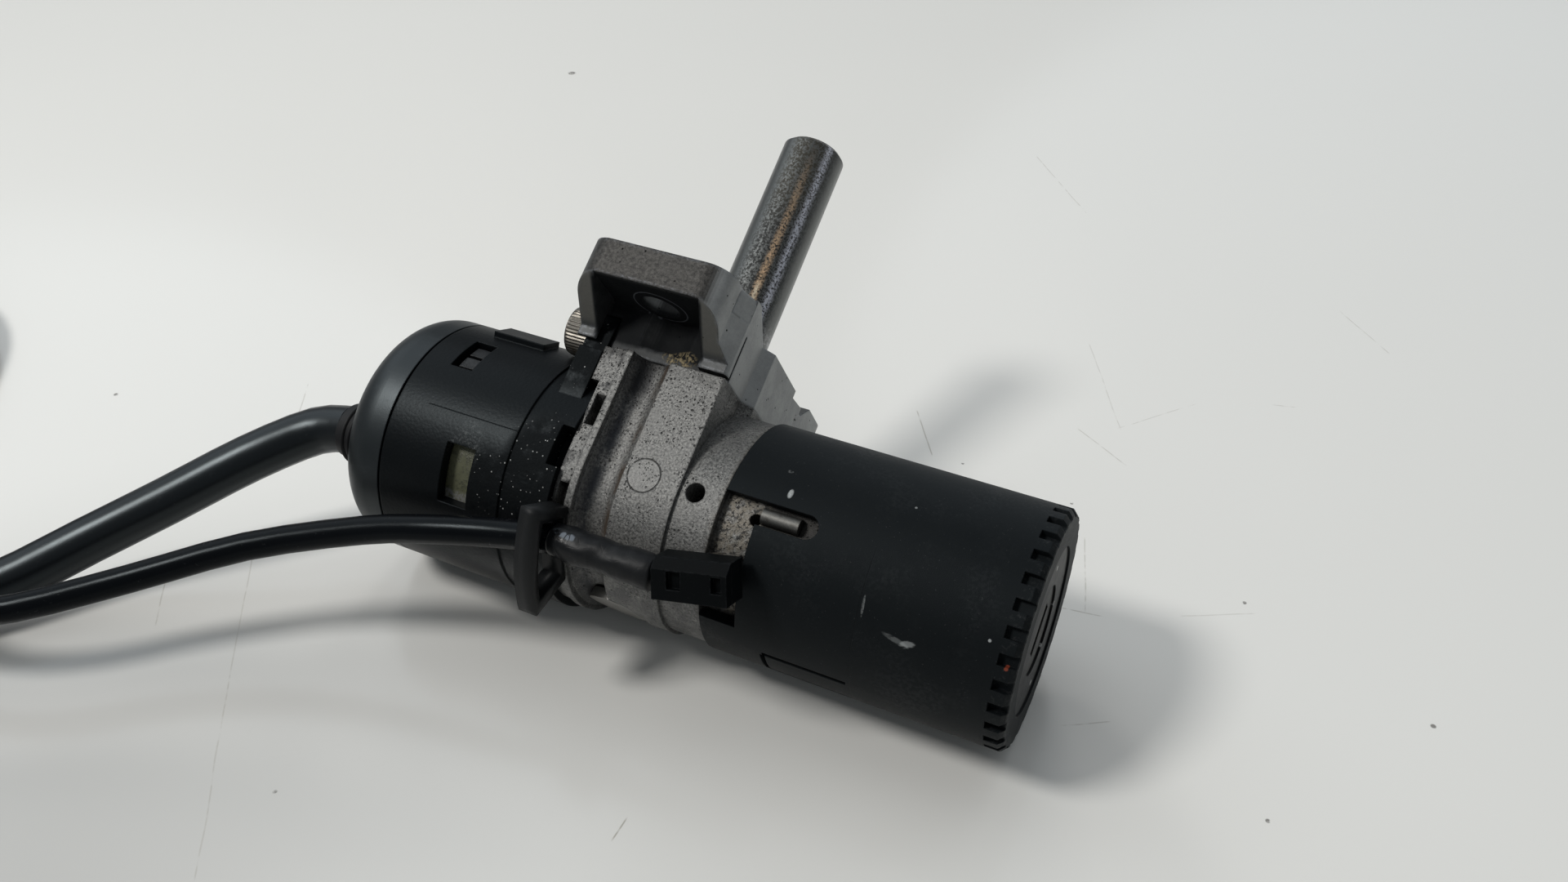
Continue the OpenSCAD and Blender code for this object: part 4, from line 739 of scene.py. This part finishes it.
NODE_LOOKS = {
    "front_sleeve": sleeve, "face_disc": disc_look(), "lock_barrel": zinc,
    "key_plug": metal_look("plug_steel", (0.016, 0.016, 0.016), (0.05, 0.049, 0.047), 0.45),
    "tumblers": brass,
    "latch_pin": metal_look("latch_steel", (0.10, 0.099, 0.093), (0.24, 0.235, 0.222), 0.50, 0.6),
    "drive_shaft": steel, "lock_housing": zinc, "bolt_cover": steel, "lock_bolt": bolt_look(),
    "bolt_slide": steel,
    "mounting_bracket": bracket, "bracket_screws": steel, "switch_housing": switch,
    "switch_screw": screw_steel, "contact_carrier": insert_look(), "switch_rotor": rotor_plastic,
    "contact_bridges": brass, "terminals": brass, "rear_cap": cap_look(), "cable_gland": rubber,
    "micro_case": micro, "micro_cover": micro, "micro_pins": steel,
    "micro_plunger": plunger_plastic, "main_tie": tie_plastic, "sense_tie": tie_plastic,
    "main_plug": plug_plastic, "sense_plug": plug_plastic,
}
for name, look in NODE_LOOKS.items():
    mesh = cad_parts[name].data
    mesh.materials.clear()
    mesh.materials.append(look)


# Cables, on the routes of part.scad

COIL_HEADING = math.radians(183)
COIL_START = COIL_HEADING + math.pi / 2
COIL_SIDE = Vector((math.sin(COIL_HEADING), -math.cos(COIL_HEADING)))
ROUTE_STEPS = 3
MAIN_WIDE, MAIN_COIL, MAIN_ARC = 9, 45, 125
SENSE_WIDE, SENSE_COIL, SENSE_ARC = 5, 30, 60

main_exit = at_lock(-130.25, GLAND_Y, GLAND_Z) / MM + CENTER
main_route = [
    main_exit, (-138, -9.5, 23), (-147, -18.5, 20.2), (-158, -30, 15), (-168.5, -41.5, 10.4), (-178, -55, 7),
    (-188, -65.5, 5.6), (-200, -71.8, 5.3), (-215, -74.6, 5.3), (-250, -76.3, 5.3), (-288, -78, 5.3),
]
main_center = Vector(main_route[-1][:2]) + MAIN_COIL * COIL_SIDE
main_points = smooth_route(main_route, ROUTE_STEPS)
main_points += coil_points(main_center, COIL_START, MAIN_COIL, 5.3, 14.35, 230, 302, MAIN_ARC)
main_cord = cord_curve("main_cord", main_points, MAIN_WIDE, main_jacket)
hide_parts("main_cable", "main_coil")

sense_exit = at_lock(BOOT_END, BOOT_Y, BOOT_Z) / MM + CENTER
sense_route = [
    sense_exit, (-86, -24, 28.9), (-97, -26.5, 27.6), (-110, -29.5, 25), (-130, -37.5, 20.4),
    (-147, -49.5, 16.4), (-161, -61.5, 14.8), (-173, -68, 14.2), (-186, -69.2, 13.4), (-200, -66.5, 12),
    (-215, -62.7, 7), (-232, -61.2, 3.8), (-258, -61.5, 3.3), (-289, -63, 3.3),
]
sense_center = Vector(sense_route[-1][:2]) + SENSE_COIL * COIL_SIDE
sense_points = smooth_route(sense_route, ROUTE_STEPS)
sense_points += coil_points(sense_center, COIL_START, SENSE_COIL, 3.3, 8.35, 250, 315, SENSE_ARC)
sense_cord = cord_curve("sense_cord", sense_points, SENSE_WIDE, sense_jacket)
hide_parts("sense_cable", "sense_coil")


# Pieces that the solids leave plain


def ring_strip(bm, rings):
    """Faces between closed rings of the same number of points."""
    verts = [[bm.verts.new(p) for p in ring] for ring in rings]
    n = len(rings[0])
    for a, b in zip(verts, verts[1:]):
        for i in range(n):
            j = (i + 1) % n
            bm.faces.new((a[i], a[j], b[j], b[i]))
    return verts


def closed_tube(bm, rings):
    """A strip of rings with both its ends filled."""
    verts = ring_strip(bm, rings)
    bm.faces.new(verts[0])
    bm.faces.new(verts[-1])


def full_turn(count):
    """Angles evenly round a circle."""
    return [2 * math.pi * i / count for i in range(count)]


def knurled_band():
    bm = bmesh.new()
    ridges, per = 44, 4
    head, ridge = 4.26, 0.16
    rings = []
    for x, swell in ((-86.3, 0.0), (-86.5, 0.6), (-86.8, 1.0), (-90.4, 1.0), (-90.8, 0.6), (-91.0, 0.0)):
        ring = []
        for i in range(ridges * per):
            a = 2 * math.pi * i / (ridges * per)
            wave = 0.5 + 0.5 * math.cos(2 * math.pi * (i % per) / per)
            r = head + swell * (0.02 + ridge * wave)
            ring.append(at_lock(x, SCREW_Y + r * math.sin(a), SCREW_Z + r * math.cos(a)))
        rings.append(ring)
    ring_strip(bm, rings)
    obj = mesh_object("screw_knurl", bm, screw_steel, smooth=False)


knurled_band()


def shrunk_boot():
    bm = bmesh.new()
    rings = []
    stations, sides = 60, 40
    thin, thick = 2.62, 3.05
    for i in range(stations + 1):
        t = i / stations
        x = BOOT_END + BOOT_LONG * t
        swell = thin + 0.28 * min(1, t * 6) + 0.22 * math.sin(t * 9.0) * t - 1.4 * max(0, t - 0.9)
        ring = []
        for a in full_turn(sides):
            d = Vector((x * 0.9, math.cos(a) * 3, math.sin(a) * 3))
            wrinkle = 0.26 * noise.noise(d * 0.4) + 0.05 * noise.noise(d * 1.5)
            r = min(swell + wrinkle, thick)
            ring.append(at_lock(x, BOOT_Y + r * math.cos(a), BOOT_Z + r * math.sin(a)))
        rings.append(ring)
    closed_tube(bm, rings)
    obj = mesh_object("shrunk_boot", bm, boot_look())
    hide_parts("cable_boot")


shrunk_boot()


def rounded_clip():
    """The clip's own solid, its moulded edges rounded."""
    bm = bmesh.new()
    bm.from_mesh(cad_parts["cable_clip"].data)
    bmesh.ops.remove_doubles(bm, verts=bm.verts[:], dist=0.005 * MM)
    bmesh.ops.dissolve_limit(bm, angle_limit=math.radians(1), verts=bm.verts[:], edges=bm.edges[:])
    sharp = [e for e in bm.edges if len(e.link_faces) == 2 and e.calc_face_angle() > math.radians(35)]
    bmesh.ops.bevel(bm, geom=sharp, offset=0.6 * MM, segments=3, affect="EDGES", clamp_overlap=True)
    obj = mesh_object("rounded_clip", bm, clip_plastic)
    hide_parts("cable_clip")


rounded_clip()


def ear_blend():
    """Carries the slope beside the near ear up to the ear's top."""
    wall, foot = -60.9, 19.2
    plan = ((wall, foot), (-58.72, foot), (-58.72, 19.5), (-60.63, 23.5), (wall, 23.5))
    bm = bmesh.new()
    rings = []
    for y, inset in ((29.6, 0.0), (33.2, 0.0), (33.9, 0.1), (34.25, 0.4)):
        rings.append([at_lock(max(x - inset, wall), y, z - inset * (z > foot)) for x, z in plan])
    closed_tube(bm, rings)
    obj = mesh_object("ear_blend", bm, bracket, smooth=False)


ear_blend()


def pressed_spring(name, node, foot, up, out, height, radii, wire, turns):
    """A coil on the lock's axis up, pressed together by its joint's travel."""
    foot, up, out = Vector(foot), Vector(up), Vector(out)
    bm = bmesh.new()
    rings = []
    steps, sides = turns * 28, 10
    for i in range(steps + 1):
        t = i / steps
        outward = Quaternion(up, 2 * math.pi * turns * t) @ out
        reach = radii[0] + (radii[1] - radii[0]) * t
        middle = foot + reach * outward + (wire + (height - 2 * wire) * t) * up
        round_wire = [wire * (math.cos(b) * outward + math.sin(b) * up) for b in full_turn(sides)]
        rings.append([at_lock(*(middle + v)) for v in round_wire])
    closed_tube(bm, rings)
    obj = mesh_object(name, bm, spring_steel)
    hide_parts(node)
    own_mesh(obj)


pressed_spring(
    "bolt_return", "bolt_spring", foot=(BOLT_X, -17.4, 0), up=(0, 1, 0), out=(1, 0, 0),
    height=10.15, radii=(2.3, 1.8), wire=0.4, turns=5,
)
pressed_spring(
    "latch_return", "latch_spring", foot=(-41.1, 0, 13.9), up=(0, 0, 1), out=(1, 0, 0),
    height=4.05, radii=(0.62, 0.62), wire=0.15, turns=4,
)


def gland_ribs():
    bm = bmesh.new()
    for x in (-124.9, -126.5, -128.1):
        foot = 6.5 - (-123.25 - x) * 0.2
        rings = []
        for step in range(9):
            t = step / 8
            r = foot - 0.1 + 0.55 * math.sin(math.pi * t)
            ring = [(GLAND_Y + r * math.sin(a), GLAND_Z + r * math.cos(a)) for a in full_turn(48)]
            rings.append([at_lock(x + 0.5 - t, y, z) for y, z in ring])
        ring_strip(bm, rings)
    obj = mesh_object("gland_ribs", bm, rubber)


gland_ribs()


def block(bm, frame_at, low, high, edge):
    size = [b - a for a, b in zip(low, high)]
    middle = [(a + b) / 2 for a, b in zip(low, high)]
    place = frame_at @ Matrix.Translation(middle) @ Matrix.Diagonal((*size, 1))
    made = bmesh.ops.create_cube(bm, size=1, matrix=place)
    edges = {e for v in made["verts"] for e in v.link_edges}
    bmesh.ops.bevel(bm, geom=list(edges), offset=edge * MM, segments=2, affect="EDGES")


def dress_plug(name, center, radius, arc, size, foot, rows, columns):
    """Latch, guide ribs and contact pins on a cable's plug, in the plug's own frame."""
    a = COIL_START - math.radians(arc)
    place = Vector((*center, 0)) + radius * Vector((math.cos(a), math.sin(a), 0))
    heading = Matrix.Rotation(a - math.pi / 2, 4, "Z")
    frame_at = Matrix.Translation(on_table(place)) @ heading @ Matrix.Scale(MM, 4)
    long, wide, high = size
    top = foot + high
    tongue = wide * 0.16
    bm = bmesh.new()
    # the tongue's front post, its bar and its rear post
    for start, end, low, over in (
        (0.42, 0.52, top - 0.1, 0.12),
        (0.30, 0.88, top + high * 0.08, 0.16),
        (0.80, 0.88, top - 0.1, 0.12),
    ):
        block(bm, frame_at, (long * start, -tongue, low), (long * end, tongue, top + high * over), 0.2)
    for side in (-1, 1):
        rib = sorted((side * wide / 2 - side * 0.1, side * (wide / 2 + 0.5)))
        for low, over in ((0.30, 0.42), (0.62, 0.74)):
            ends = (long * 0.4, rib[0], foot + high * low), (long - 0.4, rib[1], foot + high * over)
            block(bm, frame_at, *ends, 0.15)
    dress = mesh_object(name + "_latch", bm, plug_plastic, smooth=False)
    bm = bmesh.new()
    for i in range(columns):
        for j in range(rows):
            v = (i + 0.5 - columns / 2) * (wide - 4) / columns
            w = foot + high / 2 + (j + 0.5 - rows / 2) * (high - 4) / rows
            block(bm, frame_at, (long - 3.1, v - 0.5, w - 0.4), (long - 0.7, v + 0.5, w + 0.4), 0.12)
    pins = mesh_object(name + "_pins", bm, brass, smooth=False)


dress_plug("main_plug", main_center, MAIN_COIL, MAIN_ARC, (34, 24, 13), 9.9, 2, 5)
dress_plug("sense_plug", sense_center, SENSE_COIL, SENSE_ARC, (17, 9, 8), 5.9, 1, 2)


# Table and light

floor_mesh = bpy.data.meshes.new("table")
bm = bmesh.new()
bmesh.ops.create_grid(bm, x_segments=1, y_segments=1, size=3.0)
bm.to_mesh(floor_mesh)
bm.free()
floor_mesh.materials.append(floor_look())
table = bpy.data.objects.new("table", floor_mesh)
table.location.z = TABLE_TOP * MM
bpy.context.scene.collection.objects.link(table)


def area_light(name, direction, distance, size, power, color, mirrored=True):
    data = bpy.data.lights.new(name, "AREA")
    data.shape = "DISK"
    data.size = size
    data.energy = power
    data.color = color
    lamp = bpy.data.objects.new(name, data)
    lamp.location = Vector(direction).normalized() * distance
    lamp.rotation_mode = "QUATERNION"
    lamp.rotation_quaternion = (-Vector(direction)).to_track_quat("-Z", "Y")
    lamp.visible_glossy = mirrored
    bpy.context.scene.collection.objects.link(lamp)


area_light("left_lamp", (-0.47, -0.37, 0.80), 1.3, 0.30, 8.2, (1.0, 0.985, 0.955))
area_light("back_left", (-0.59, 0.63, 0.51), 1.5, 0.35, 2.2, (1.0, 0.98, 0.95), mirrored=False)
area_light("back_right", (-0.20, 0.82, 0.53), 1.5, 0.35, 2.2, (1.0, 0.98, 0.95), mirrored=False)
area_light("ceiling", (-0.15, 0.30, 0.94), 1.6, 1.2, 2.7, (1.0, 0.99, 0.97), mirrored=False)
area_light("window", (-0.70, 0.25, 0.70), 1.5, 1.3, 3.6, (0.86, 0.94, 1.0))
area_light("back_panel", (0.15, 0.80, 0.62), 1.6, 1.6, 3.1, (0.86, 0.94, 1.0))
area_light("right_fill", (0.85, -0.25, 0.46), 1.6, 1.2, 0.6, (0.96, 0.98, 1.0), mirrored=False)

world = bpy.data.worlds.new("studio")
bpy.context.scene.world = world
world.use_nodes = True
world.node_tree.nodes["Background"].inputs["Color"].default_value = (0.90, 0.96, 1.0, 1)
world.node_tree.nodes["Background"].inputs["Strength"].default_value = 0.22
bpy.context.scene.view_settings.view_transform = "Standard"
